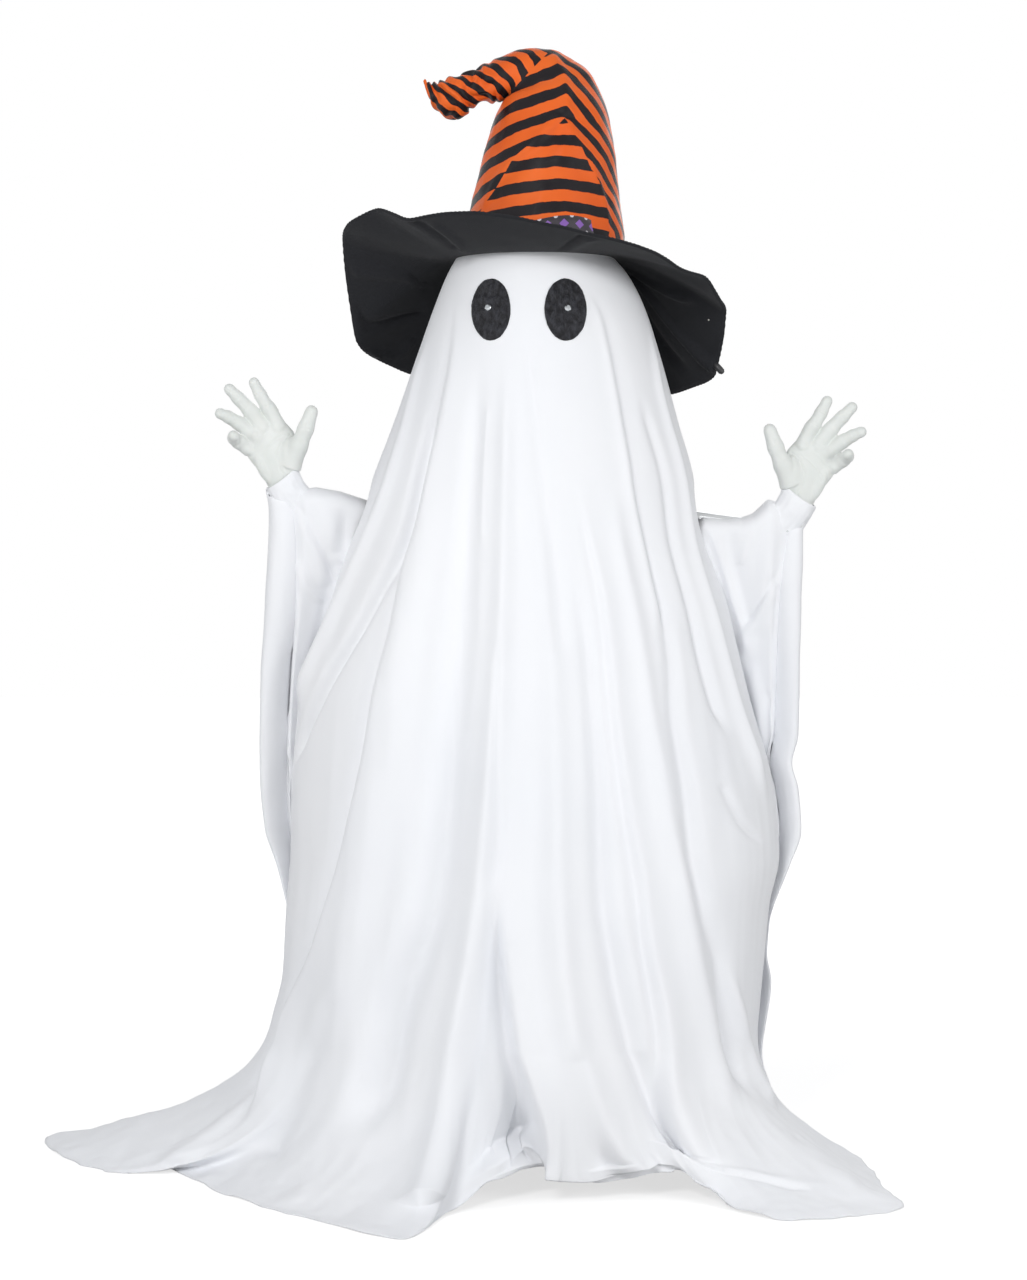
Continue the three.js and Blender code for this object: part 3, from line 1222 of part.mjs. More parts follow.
function hand(side) {
  const sides = 12;
  const palm = loft(
    PALM_RINGS.map(([height, middle, halfWidth, halfDepth]) =>
      Array.from({ length: sides }, (_, i) => {
        const turn = (i * 2 * Math.PI) / sides;
        return vec(middle + halfWidth * Math.cos(turn), halfDepth * Math.sin(turn), height);
      }),
    ),
  );
  const whole = join(palm, ...Object.values(FINGERS).map((points) => limb(points)));
  const socket = post(ARM_RADIUS + FIT_GAP, -WRIST_STUB - 1, -WRIST_STUB + WRIST_GRIP + FIT_GAP, 0, 0, 20);
  const fitted = cut(whole, socket);
  return side > 0 ? fitted : fitted.scale(-1, 1, 1);
}

// The arm tube's route from its hub out to the bend and up into the hand.
function armRoute(side) {
  const { reach, rise } = WRISTS[side > 0 ? "left" : "right"];
  const wrist = vec(side * reach, HAND_Y, shoulderZ + rise);
  const up = vec(side * Math.sin(radians(HAND_TILT)), 0, Math.cos(radians(HAND_TILT)));
  const alongHand = (distance) => wrist.clone().addScaledVector(up, distance);
  const end = alongHand(-WRIST_STUB + WRIST_GRIP);
  const start = vec(side * SHOULDER_HALF_SPAN, 0, shoulderZ);
  const elbow = alongHand(-ELBOW_DROP);
  const straight = new THREE.LineCurve3(start, start.clone().lerp(elbow, ARM_STRAIGHT));
  const bend = new THREE.QuadraticBezierCurve3(straight.v2, elbow, alongHand(-WRIST_STUB - ARM_RADIUS / 3));
  const top = new THREE.LineCurve3(bend.v2, end);
  return { straight, bend, top, wrist, up };
}

function armTube(side) {
  const { straight, bend, top } = armRoute(side);
  const insideHub = ARM_RADIUS / straight.getLength();
  const route = [straight.getPoint(insideHub), straight.v2];
  for (const share of [0.25, 0.5, 0.75, 1]) route.push(bend.getPoint(share));
  route.push(top.v2);
  const sides = 16;
  const rings = route.map((point, i) => {
    const before = route[Math.max(i - 1, 0)];
    const after = route[Math.min(i + 1, route.length - 1)];
    const along = after.clone().sub(before).normalize();
    const across = vec(0, 1, 0).cross(along).normalize();
    const front = along.clone().cross(across);
    return Array.from({ length: sides }, (_, k) => {
      const turn = (k * 2 * Math.PI) / sides;
      const out = across.clone().multiplyScalar(ARM_RADIUS * Math.cos(turn));
      return point.clone().add(out).addScaledVector(front, ARM_RADIUS * Math.sin(turn));
    });
  });
  const pivot = straight.v1;
  const at = (y) => vec(pivot.x, y, pivot.z);
  const hub = rod(ARM_HUB_RADIUS, at(-plateInside + 2 * FIT_GAP), at(armGearFront - FIT_GAP));
  return cut(join(loft(rings), hub), rod(PIN_RADIUS + FIT_GAP, at(-plateOutside), at(plateOutside), 20));
}

function armGear(side) {
  const facing = side > 0 ? Math.PI : 0;
  const sector = { teeth: ARM_SECTOR_TEETH, hub: ARM_HUB_RADIUS };
  const outline = gearShape(ARM_MODULE, ARM_GEAR_TEETH, PIN_RADIUS + FIT_GAP, facing, sector);
  return sliceAlongY(outline, armGearFront, armGearBack);
}

// A sleeve hangs over its arm tube as a towel hangs over a rail. Levels from the tube down: drop
// below the shoulder, how far the inner edge stands out from the sheet's half width, how far the
// outer edge stands out from its top end, depth of the middle at the inner edge, half thickness,
// and how much of the folds shows, where none means that the level still follows the tube.
const SLEEVE_LEVELS = [
  [32, 9, 0, -6, 16, 0],
  [90, 10, -2, 10, 23, 0.6],
  [150, 14, 0, 22, 28, 1],
  [230, -3, 6, 34, 32, 1],
  [330, -16, 9, 44, 34, 1],
  [470, -26, 1, 50, 30, 1],
  [600, -29, -26, 52, 20, 1],
];
const SLEEVE_ACROSS = [0, 0.16, 0.34, 0.5, 0.66, 0.8, 0.92, 1]; // places of the folds
const SLEEVE_SWELL = [0.25, 0.95, 0.6, 1.05, 0.6, 0.7, 1.15, 0.35]; // their share of the thickness
const SLEEVE_RAIL = [[1, 0.05], [0.85, 0.6], [0.45, 1]]; // the rounded top: up and out, in radii

function sleeveSkin(side, inset) {
  const { straight } = armRoute(side);
  const tubeAt = (x) => {
    const share = (x - straight.v1.x) / (straight.v2.x - straight.v1.x);
    return straight.v1.clone().lerp(straight.v2, share);
  };
  const railRadius = ARM_RADIUS + SLEEVE_RAIL_GAP + CLOTH - inset;
  const { reach, sleevePast } = WRISTS[side > 0 ? "left" : "right"];
  const outerTop = reach + sleevePast;
  const innerTop = halfWidthAt(shoulderZ, side) + SLEEVE_LEVELS[0][1];
  const shrink = (share) => (share < 0.5 ? inset : -inset);
  const ringOfSides = (front, back) => [...front, ...back.reverse()];
  const rail = SLEEVE_RAIL.map(([up, out]) => {
    const pair = [-1, 1].map((face) =>
      SLEEVE_ACROSS.map((share) => {
        const x = side * (THREE.MathUtils.lerp(innerTop, outerTop, share) + shrink(share));
        const tube = tubeAt(x);
        return vec(x, tube.y + face * railRadius * out, tube.z + railRadius * up);
      }),
    );
    return ringOfSides(...pair);
  });
  const levels = SLEEVE_LEVELS.map(([drop, innerGap, outer, depth, half, folded]) => {
    const z = shoulderZ - drop;
    const innerX = halfWidthAt(z, side) + innerGap;
    const outerX = outerTop + outer;
    const pair = [-1, 1].map((face) =>
      SLEEVE_ACROSS.map((share, i) => {
        const x = side * (THREE.MathUtils.lerp(innerX, outerX, share) + shrink(share));
        const hanging = THREE.MathUtils.lerp(depth, HAND_Y / 2, share);
        const middle = THREE.MathUtils.lerp(tubeAt(x).y, hanging, folded);
        const thick = Math.max(half * THREE.MathUtils.lerp(1, SLEEVE_SWELL[i], folded) - inset, 1);
        return vec(x, middle + face * thick, z);
      }),
    );
    return ringOfSides(...pair);
  });
  return [...rail, ...levels];
}

function sleeve(side) {
  const outside = loft(sleeveSkin(side, 0), true);
  const insideRings = sleeveSkin(side, CLOTH);
  const lastRing = insideRings[insideRings.length - 1];
  insideRings.push(lastRing.map((point) => point.clone().add(vec(0, 0, -WRIST_STUB))));
  const { straight, wrist, up } = armRoute(side);
  const armPassage = rod(SLEEVE_MOUTH * ARM_RADIUS, straight.v1, straight.getPoint(0.8), 12);
  const along = (distance) => wrist.clone().addScaledVector(up, distance);
  const cuff = rod(CUFF_RADIUS, along(-CUFF_DEPTH), along(CUFF_RADIUS), 14);
  return cut(outside, loft(insideRings, true), armPassage, cuff);
}

for (const [name, side] of [["left", 1], ["right", -1]]) {
  const arm = new THREE.Group();
  figure.add(arm);
  addPart(arm, `${name}_arm_tube`, armTube(side), "zinc");
  const gear = addPart(arm, `${name}_arm_gear`, armGear(side), "nylon");
  gear.position.set(side * SHOULDER_HALF_SPAN, 0, shoulderZ);
  addPart(arm, `${name}_sleeve`, sleeve(side), "cloth");
  const { wrist } = armRoute(side);
  const palm = addPart(arm, `${name}_hand`, hand(side), "vinyl");
  palm.position.copy(wrist);
  palm.rotation.y = radians(side * HAND_TILT);
}

export default figure;
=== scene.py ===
import math
import random

import bmesh
import bpy
import numpy as np
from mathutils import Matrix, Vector, noise
from mathutils.bvhtree import BVHTree


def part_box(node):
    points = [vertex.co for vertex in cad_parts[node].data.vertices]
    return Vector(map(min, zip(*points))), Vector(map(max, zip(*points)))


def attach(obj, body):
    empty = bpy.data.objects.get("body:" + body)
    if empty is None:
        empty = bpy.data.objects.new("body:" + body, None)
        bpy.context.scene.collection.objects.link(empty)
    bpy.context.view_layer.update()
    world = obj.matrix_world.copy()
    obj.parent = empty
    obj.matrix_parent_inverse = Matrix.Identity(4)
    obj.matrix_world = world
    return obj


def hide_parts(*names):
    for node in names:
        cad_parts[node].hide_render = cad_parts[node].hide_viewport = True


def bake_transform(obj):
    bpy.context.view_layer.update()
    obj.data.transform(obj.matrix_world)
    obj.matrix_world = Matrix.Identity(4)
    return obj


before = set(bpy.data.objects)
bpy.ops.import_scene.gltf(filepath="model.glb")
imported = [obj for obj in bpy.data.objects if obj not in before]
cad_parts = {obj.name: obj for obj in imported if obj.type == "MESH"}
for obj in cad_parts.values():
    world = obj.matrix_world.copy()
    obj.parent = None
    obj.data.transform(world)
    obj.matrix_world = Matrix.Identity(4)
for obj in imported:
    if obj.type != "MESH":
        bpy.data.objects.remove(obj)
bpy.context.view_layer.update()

# Camera, from the photograph: in front of the figure, a little to its side, 1 m up
PHOTO_WIDTH = 1027
PHOTO_HEIGHT = 1280
FOCAL_PIXELS = 2820
CAMERA_PLACE = np.array([-0.034, -4.5, 1.0])
CAMERA_PITCH = math.radians(2.29)
CAMERA_RIGHT = np.array([1.0, 0.0, 0.0])
CAMERA_UP = np.array([0.0, math.sin(CAMERA_PITCH), math.cos(CAMERA_PITCH)])
CAMERA_AHEAD = np.array([0.0, math.cos(CAMERA_PITCH), -math.sin(CAMERA_PITCH)])


def to_photo(points):
    """Photograph pixels of points in the figure's frame."""
    away = np.asarray(points) - CAMERA_PLACE
    depth = away @ CAMERA_AHEAD
    across = PHOTO_WIDTH / 2 + FOCAL_PIXELS * (away @ CAMERA_RIGHT) / depth
    down = PHOTO_HEIGHT / 2 - FOCAL_PIXELS * (away @ CAMERA_UP) / depth
    return np.stack([across, down], axis=-1)


def from_photo(pixel, y):
    """The point at depth y that a photograph pixel shows."""
    across = (pixel[0] - PHOTO_WIDTH / 2) / FOCAL_PIXELS
    up = (PHOTO_HEIGHT / 2 - pixel[1]) / FOCAL_PIXELS
    ray = CAMERA_AHEAD + across * CAMERA_RIGHT + up * CAMERA_UP
    return CAMERA_PLACE + ray * (y - CAMERA_PLACE[1]) / ray[1]


def make_camera():
    data = bpy.data.cameras.new("camera")
    data.sensor_fit = "VERTICAL"
    data.sensor_height = 24
    data.lens = FOCAL_PIXELS * data.sensor_height / PHOTO_HEIGHT
    data.sensor_width = data.sensor_height
    camera = bpy.data.objects.new("camera", data)
    camera.location = CAMERA_PLACE
    camera.rotation_euler = (math.pi / 2 - CAMERA_PITCH, 0, 0)
    bpy.context.scene.collection.objects.link(camera)
    bpy.context.scene.camera = camera


# Node helpers for the world and the materials


class Nodes:
    """A node tree whose nodes are added one by one."""

    def __init__(self, tree):
        self.nodes = tree.nodes
        self.links = tree.links

    def add(self, kind, settings=(), **inputs):
        node = self.nodes.new(kind)
        for key, value in dict(settings).items():
            setattr(node, key, value)
        for key, value in inputs.items():
            self.feed(node.inputs[key.replace("_", " ")], value)
        return node

    def feed(self, socket, value):
        if isinstance(value, bpy.types.NodeSocket):
            self.links.new(value, socket)
        else:
            socket.default_value = value

    def math(self, operation, a, b=0.0):
        node = self.add("ShaderNodeMath", {"operation": operation})
        self.feed(node.inputs[0], a)
        self.feed(node.inputs[1], b)
        return node.outputs[0]

    def seen(self):
        """1 for what the camera sees, straight, mirrored or through glass, and 0 for other light."""
        rays = self.add("ShaderNodeLightPath").outputs
        seen = self.math("MAXIMUM", rays["Is Camera Ray"], rays["Is Glossy Ray"])
        return self.math("MAXIMUM", seen, rays["Is Transmission Ray"])


class Shader(Nodes):
    """A Principled material."""

    def __init__(self, name, color, roughness, metallic=0.0, **values):
        self.material = bpy.data.materials.new(name)
        self.material.use_nodes = True
        super().__init__(self.material.node_tree)
        self.surface = self.nodes["Principled BSDF"]
        values.update(Base_Color=(*color, 1), Roughness=roughness, Metallic=metallic)
        for key, value in values.items():
            self.surface.inputs[key.replace("_", " ")].default_value = value
        self.height = None

    def place(self):
        return self.add("ShaderNodeTexCoord").outputs["Object"]

    def flat_place(self, name):
        """The two parts, X and Y, of a UV map."""
        cut = self.add("ShaderNodeUVMap", {"uv_map": name}).outputs["UV"]
        return self.add("ShaderNodeSeparateXYZ", Vector=cut).outputs

    def stretched(self, scale, source=None):
        mapping = self.add("ShaderNodeMapping", Vector=source or self.place(), Scale=scale)
        return mapping.outputs["Vector"]

    def noise(self, scale, detail=3.0, roughness=0.5, vector=None):
        place = vector or self.place()
        node = self.add("ShaderNodeTexNoise", Scale=scale, Detail=detail, Roughness=roughness, Vector=place)
        return node.outputs["Fac"]

    def ramp(self, fac, stops):
        node = self.add("ShaderNodeValToRGB", Fac=fac)
        elements = node.color_ramp.elements
        while len(elements) < len(stops):
            elements.new(0.5)
        for element, (position, color) in zip(elements, stops):
            element.position = position
            element.color = (*color, 1) if isinstance(color, tuple) else (color, color, color, 1)
        return node.outputs["Color"]

    def mix(self, fac, a, b):
        node = self.add("ShaderNodeMix", {"data_type": "RGBA"}, Factor=fac)
        for key, value in (("A", a), ("B", b)):
            self.feed(node.inputs[key], (*value, 1) if isinstance(value, tuple) else value)
        return node.outputs["Result"]

    def color(self, socket):
        self.links.new(socket, self.surface.inputs["Base Color"])

    def rough(self, fac, low, high, start=0.3, end=0.7):
        self.links.new(self.ramp(fac, [(start, low), (end, high)]), self.surface.inputs["Roughness"])

    def bump(self, height, distance, strength=1.0):
        node = self.add("ShaderNodeBump", Strength=strength, Distance=distance, Height=height)
        if self.height is not None:
            self.links.new(self.height, node.inputs["Normal"])
        self.height = node.outputs["Normal"]
        self.links.new(self.height, self.surface.inputs["Normal"])


def woven(shader, pitch, depth):
    """A plain weave's bump: threads across and up, thinned at random."""
    place = shader.place()
    parts = shader.add("ShaderNodeSeparateXYZ", Vector=place)
    waves = []
    for axis in ("X", "Z"):
        turns = shader.math("MULTIPLY", parts.outputs[axis], 2 * math.pi / pitch)
        waves.append(shader.math("SINE", turns))
    both = shader.math("MULTIPLY", *waves)
    slubs = shader.noise(1.0, 2, vector=shader.stretched((30, 30, 900), place))
    shader.bump(shader.math("ADD", both, slubs), depth, 0.5)


def cloth_material():
    shader = Shader(
        "white_cloth", (0.86, 0.87, 0.89), 0.62,
        Sheen_Weight=0.04, Sheen_Roughness=0.5, Specular_IOR_Level=0.25,
    )
    tone = shader.noise(2.2, 4)
    shader.color(shader.ramp(tone, [(0.3, (0.835, 0.85, 0.882)), (0.7, (0.868, 0.876, 0.897))]))
    shader.rough(shader.noise(14, 3), 0.56, 0.68)
    woven(shader, 0.0012, 0.00006)
    shader.bump(shader.noise(60, 4, vector=shader.stretched((1, 1, 0.25))), 0.0006, 0.25)
    return shader.material


def felt_material():
    shader = Shader(
        "black_felt", (0.02, 0.02, 0.023), 0.9,
        Sheen_Weight=0.06, Sheen_Roughness=0.5, Specular_IOR_Level=0.12,
    )
    fibres = shader.noise(420, 5, 0.7)
    blotches = shader.noise(9, 4)
    shade = shader.mix(fibres, (0.007, 0.007, 0.008), (0.026, 0.027, 0.031))
    shader.color(shader.mix(shader.math("MULTIPLY", blotches, 0.35), shade, (0.036, 0.038, 0.044)))
    shader.rough(blotches, 0.8, 0.92)
    woven(shader, 0.0022, 0.00025)
    shader.bump(fibres, 0.0009, 0.6)
    return shader.material


STRIPE_ORANGE = (0.83, 0.125, 0.018)
STRIPE_SOFTNESS = 0.012  # half the width of a stripe's soft edge, in pairs of stripes


def satin_material():
    """Stripes along the hat's own flat cut, which its UV maps hold in pairs of stripes."""
    shader = Shader(
        "striped_satin", STRIPE_ORANGE, 0.4,
        Sheen_Weight=0.03, Sheen_Roughness=0.35, Specular_IOR_Level=0.16,
    )
    cuts = shader.flat_place("flat_cut")
    places = shader.flat_place("triangle_and_arm")
    inside = shader.math("GREATER_THAN", shader.math("MAXIMUM", places["X"], places["Y"]), 0.0)
    step = shader.math("SUBTRACT", cuts["Y"], cuts["X"])
    height = shader.math("ADD", cuts["X"], shader.math("MULTIPLY", step, inside))
    wobble = shader.math("MULTIPLY", shader.math("SUBTRACT", shader.noise(90, 2), 0.5), 0.06)
    phase = shader.math("FRACT", shader.math("ADD", height, wobble))
    soft = STRIPE_SOFTNESS
    rise, fall = [(0.5 - soft, 0.0), (0.5 + soft, 1.0)], [(1.0 - soft, 1.0), (1.0, 0.0)]
    dark = shader.ramp(phase, [(0.0, 0.0), *rise, *fall])
    fade = shader.noise(7, 3)
    orange = shader.mix(fade, (0.7, 0.085, 0.012), (0.93, 0.19, 0.03))
    black = shader.mix(fade, (0.004, 0.003, 0.005), (0.012, 0.009, 0.011))
    shader.color(shader.mix(dark, orange, black))
    threads = shader.math("SINE", shader.math("MULTIPLY", height, 300.0))
    shader.bump(threads, 0.00008, 0.4)
    shader.bump(shader.noise(45, 4), 0.0022, 0.45)
    shader.rough(shader.noise(25, 3), 0.34, 0.52)
    return shader.material


def band_material():
    """A generic ribbon: rows of small diamonds and dots, in purple and white on black."""
    shader = Shader("band_ribbon", (0.02, 0.015, 0.022), 0.5, Sheen_Weight=0.2, Specular_IOR_Level=0.4)
    parts = shader.flat_place("flat_cut")
    across, up = parts["X"], parts["Y"]

    def cell(value, count, shift):
        turned = shader.math("ADD", shader.math("MULTIPLY", value, count), shift)
        return shader.math("ABSOLUTE", shader.math("SUBTRACT", shader.math("FRACT", turned), 0.5))

    def shape(columns, rows, shift, size, power):
        a = shader.math("POWER", cell(across, columns, shift), power)
        b = shader.math("POWER", cell(up, rows, shift), power)
        return shader.math("LESS_THAN", shader.math("ADD", a, b), size**power)

    diamonds = shape(34.0, 2.0, 0.0, 0.3, 1.0)
    dots = shape(34.0, 2.0, 0.5, 0.13, 2.0)
    shade = shader.mix(shader.noise(200, 2), (0.013, 0.01, 0.016), (0.03, 0.022, 0.034))
    purple = shader.mix(diamonds, shade, (0.23, 0.1, 0.42))
    shader.color(shader.mix(dots, purple, (0.72, 0.7, 0.74)))
    shader.bump(shader.noise(900, 2), 0.0001, 0.5)
    return shader.material


def patch_material():
    shader = Shader(
        "crinkled_black_cloth", (0.022, 0.023, 0.028), 0.5,
        Sheen_Weight=0.04, Sheen_Roughness=0.4, Specular_IOR_Level=0.3,
    )
    crinkle = shader.noise(140, 6, 0.65, shader.stretched((1, 1, 0.55)))
    # Painted light and shade: the crinkles' raised tops are painted lighter and their hollows darker, from
    # the same noise that drives the bump.
    crinkle_painted_light = shader.ramp(crinkle, [(0.4, 0.0), (0.64, 1.0)])
    shader.color(shader.mix(crinkle_painted_light, (0.004, 0.004, 0.006), (0.034, 0.035, 0.043)))
    shader.bump(crinkle, 0.007, 1.0)
    shader.bump(shader.noise(1100, 2), 0.0002, 0.4)
    return shader.material


def vinyl_material():
    shader = Shader(
        "soft_vinyl", (0.72, 0.745, 0.725), 0.46,
        Specular_IOR_Level=0.3, Subsurface_Weight=0.05, Subsurface_Scale=0.004,
    )
    shader.surface.inputs["Subsurface Radius"].default_value = (1.0, 0.8, 0.6)
    tone = shader.noise(18, 4)
    shader.color(shader.ramp(tone, [(0.3, (0.68, 0.71, 0.685)), (0.72, (0.74, 0.76, 0.74))]))
    shader.rough(shader.noise(50, 3), 0.4, 0.54)
    shader.bump(shader.noise(700, 3), 0.0002, 0.35)
    return shader.material


def crystal_material():
    shader = Shader("cut_crystal", (0.42, 0.44, 0.46), 0.08, 0.85, Coat_Weight=0.25, Coat_Roughness=0.02)
    return shader.material


def metal_material(name, low, high, roughness, grain):
    """Brushed or plated metal: `grain` stretches the marks along the piece."""
    shader = Shader(name, high, roughness, metallic=1.0)
    marks = shader.noise(70, 4, 0.6, shader.stretched(grain))
    cloud = shader.noise(16, 3)
    shader.color(shader.mix(cloud, low, high))
    shader.rough(marks, roughness - 0.1, roughness + 0.14, 0.25, 0.75)
    shader.bump(marks, 0.0003, 0.15)
    return shader.material


def plastic_material(name, low, high, roughness, texture_scale=900.0, **values):
    """Moulded plastic or coating: fine texture, slight change of tone and a little rub wear."""
    shader = Shader(name, high, roughness, **values)
    cloud = shader.noise(24, 4)
    shader.color(shader.mix(cloud, low, high))
    shader.rough(shader.noise(60, 3), roughness - 0.07, roughness + 0.1)
    shader.bump(shader.noise(texture_scale, 2), 0.00015, 0.5)
    return shader.material


def board_material():
    shader = Shader("circuit_board", (0.03, 0.16, 0.08), 0.35, Coat_Weight=0.3)
    edges = {"feature": "DISTANCE_TO_EDGE", "distance": "MANHATTAN"}
    tracks = shader.add("ShaderNodeTexVoronoi", edges, Scale=190.0, Vector=shader.place())
    line = shader.math("LESS_THAN", tracks.outputs["Distance"], 0.07)
    shader.color(shader.mix(line, (0.018, 0.12, 0.055), (0.05, 0.26, 0.12)))
    shader.bump(line, 0.0001, 0.6)
    return shader.material


def make_materials():
    coat = ((0.016, 0.016, 0.018), (0.035, 0.035, 0.038), 0.42, 500.0)
    zinc = ((0.5, 0.52, 0.53), (0.68, 0.69, 0.7), 0.36, (1, 1, 0.2))
    steel = ((0.56, 0.57, 0.58), (0.72, 0.73, 0.74), 0.26, (1, 1, 6))
    nylon = ((0.68, 0.66, 0.58), (0.8, 0.78, 0.7), 0.45)
    shell = ((0.7, 0.69, 0.66), (0.78, 0.77, 0.74), 0.4, 60.0)
    return {
        "cloth": cloth_material(),
        "felt": felt_material(),
        "satin": satin_material(),
        "band": band_material(),
        "patch": patch_material(),
        "vinyl": vinyl_material(),
        "crystal": crystal_material(),
        "zinc": metal_material("zinc_plate", *zinc),
        "steel": metal_material("ground_steel", *steel),
        "coat": plastic_material("black_powder_coat", *coat),
        "black_plastic": plastic_material("black_plastic", (0.02, 0.02, 0.022), (0.04, 0.04, 0.042), 0.5),
        "rubber": plastic_material("black_rubber", (0.012, 0.012, 0.012), (0.026, 0.026, 0.026), 0.8),
        "red_rubber": plastic_material("red_rubber", (0.35, 0.02, 0.015), (0.5, 0.035, 0.025), 0.55),
        "nylon": plastic_material("nylon", *nylon, Subsurface_Weight=0.05),
        "shell": plastic_material("blow_moulded_shell", *shell),
        "board": board_material(),
    }


# Mesh helpers


def add_object(name, vertices, faces, material, smooth=True):
    mesh = bpy.data.meshes.new(name)
    mesh.from_pydata([tuple(v) for v in vertices], [], [tuple(f) for f in faces])
    mesh.validate()
    mesh.materials.append(material)
    mesh.polygons.foreach_set("use_smooth", [smooth] * len(mesh.polygons))
    obj = bpy.data.objects.new(name, mesh)
    bpy.context.scene.collection.objects.link(obj)
    return obj


def grid_faces(rows, columns, around=False):
    """Squares of a grid of points held row by row. `around` joins the last column to the first."""
    faces = []
    for r in range(0, (rows - 1) * columns, columns):
        for c in range(columns if around else columns - 1):
            after = (c + 1) % columns
            faces.append((r + c, r + columns + c, r + columns + after, r + after))
    return faces


def thicken(obj, thickness):
    solidify = obj.modifiers.new("thickness", "SOLIDIFY")
    solidify.thickness = thickness
    solidify.offset = -1.0
    solidify.use_even_offset = False


def apply_modifiers(obj):
    bpy.context.view_layer.update()
    graph = bpy.context.evaluated_depsgraph_get()
    mesh = bpy.data.meshes.new_from_object(obj.evaluated_get(graph))
    mesh.name = obj.name
    obj.modifiers.clear()
    obj.data = mesh


def smooth_curve(xs, ys, x):
    """A monotone cubic through points with rising xs, read at x."""
    xs, ys, x = (np.asarray(values, float) for values in (xs, ys, x))
    run = np.diff(xs)
    slopes = np.diff(ys) / run
    tangents = np.zeros(len(xs))
    tangents[0], tangents[-1] = slopes[0], slopes[-1]
    rising = slopes[:-1] * slopes[1:] > 0
    w0, w1 = 2 * run[1:] + run[:-1], run[1:] + 2 * run[:-1]
    with np.errstate(divide="ignore", invalid="ignore"):
        mean = (w0 + w1) / (w0 / slopes[:-1] + w1 / slopes[1:])
    tangents[1:-1] = np.where(rising, mean, 0.0)
    k = np.clip(np.searchsorted(xs, x) - 1, 0, len(run) - 1)
    t = np.clip((x - xs[k]) / run[k], 0, 1)
    return (
        ys[k] * (1 + 2 * t) * (1 - t) ** 2
        + run[k] * tangents[k] * t * (1 - t) ** 2
        + ys[k + 1] * t**2 * (3 - 2 * t)
        + run[k] * tangents[k + 1] * t**2 * (t - 1)
    )


def column_of(table, column, at):
    """A table's column as a smooth curve over its first column."""
    rows = sorted(table, key=lambda row: row[0])
    return smooth_curve([row[0] for row in rows], [row[column] for row in rows], at)


def smooth_columns(keys, table, at):
    """All columns of a table as smooth curves over the keys of its rows."""
    return np.stack([smooth_curve(keys, column, at) for column in zip(*table)], axis=-1)


def outward_normals(grid, outward):
    """Unit normals of a grid of points, rows by columns by three, on the side of `outward`."""
    normal = np.cross(np.gradient(grid, axis=0), np.gradient(grid, axis=1))
    normal = normal / np.maximum(np.linalg.norm(normal, axis=2, keepdims=True), 1e-12)
    return -normal if np.sum(normal * outward) < 0 else normal


def arc_lengths(grid):
    """Distance along each row of a grid from its first column."""
    steps = np.linalg.norm(np.diff(grid, axis=1), axis=2)
    return np.concatenate([np.zeros((len(grid), 1)), np.cumsum(steps, axis=1)], axis=1)


def ring_noise(turn, reach, height):
    """Smooth noise that closes on itself once round, the finer the greater its reach."""
    return noise.noise(Vector((reach * math.cos(turn), reach * math.sin(turn), height)))


def wrinkles(grid, scale, stretch, seed):
    """Smooth noise over a grid of points, finer by `scale` per metre and drawn out along Z."""
    flat = grid.reshape(-1, 3) * np.array([scale, scale, scale / stretch]) + seed
    values = [noise.noise(Vector(point)) for point in flat]
    return np.array(values).reshape(grid.shape[:2])


# Folds. Each is a line on a cloth, which runs from its first point to its last. RIDGE stands out,
# VALLEY lies in, and CREASE is a sharp step, high on its right where its height is positive and on
# its left where it is negative.
RIDGE, VALLEY, CREASE = "ridge", "valley", "crease"
CREASE_SHARPNESS = 0.0065  # half the width of a crease's step
FADE = 0.12  # share of a line's length over which it fades at each end


def line_on_grid(points, pixels, columns):
    """Rows and columns of a grid that lie nearest to a line of photograph pixels."""
    found = []
    for point in points:
        distance = np.hypot(pixels[..., 0] - point[0], pixels[..., 1] - point[1])
        distance = np.where(columns[None, :], distance, np.inf)
        found.append(np.unravel_index(np.argmin(distance), distance.shape))
    found = sorted(dict(found).items())
    return [r for r, _ in found], [c for _, c in found]


def fold_height(kind, s, height, width):
    """A fold's profile at distance s to the right of its line."""
    if kind == CREASE:
        side = 0.5 * (1 + np.tanh(s / CREASE_SHARPNESS))
        high = np.exp(-((np.maximum(s, 0) / (1.8 * width)) ** 2))
        low = np.exp(-((np.minimum(s, 0) / width) ** 2))
        return height * (side * high - (1 - side) * low)
    bell = np.exp(-((s / width) ** 2))
    return height * bell if kind == RIDGE else -height * bell


def add_fold(heights, arcs, kind, rows, columns, sizes, ends=(True, True)):
    """Adds a fold along a line given by its rows and columns. `sizes` are the fold's height and
    width at its start and at its end, and `ends` says at which ends it fades out."""
    if len(rows) < 2:
        return
    span = np.arange(rows[0], rows[-1] + 1)
    column = smooth_curve(rows, columns, span)
    low = np.floor(column).astype(int)
    after = np.minimum(low + 1, arcs.shape[1] - 1)
    at = arcs[span, low] + (column - low) * (arcs[span, after] - arcs[span, low])
    share = (span - rows[0]) / max(rows[-1] - rows[0], 1)
    (height0, width0), (height1, width1) = sizes
    height = height0 + (height1 - height0) * share
    width = width0 + (width1 - width0) * share
    for side, way in enumerate((share, 1 - share)):
        if ends[side]:
            near = np.clip(way / FADE, 0, 1)
            height = height * near**2 * (3 - 2 * near)
    s = arcs[span] - at[:, None]
    heights[span] += fold_height(kind, s, height[:, None], width[:, None])


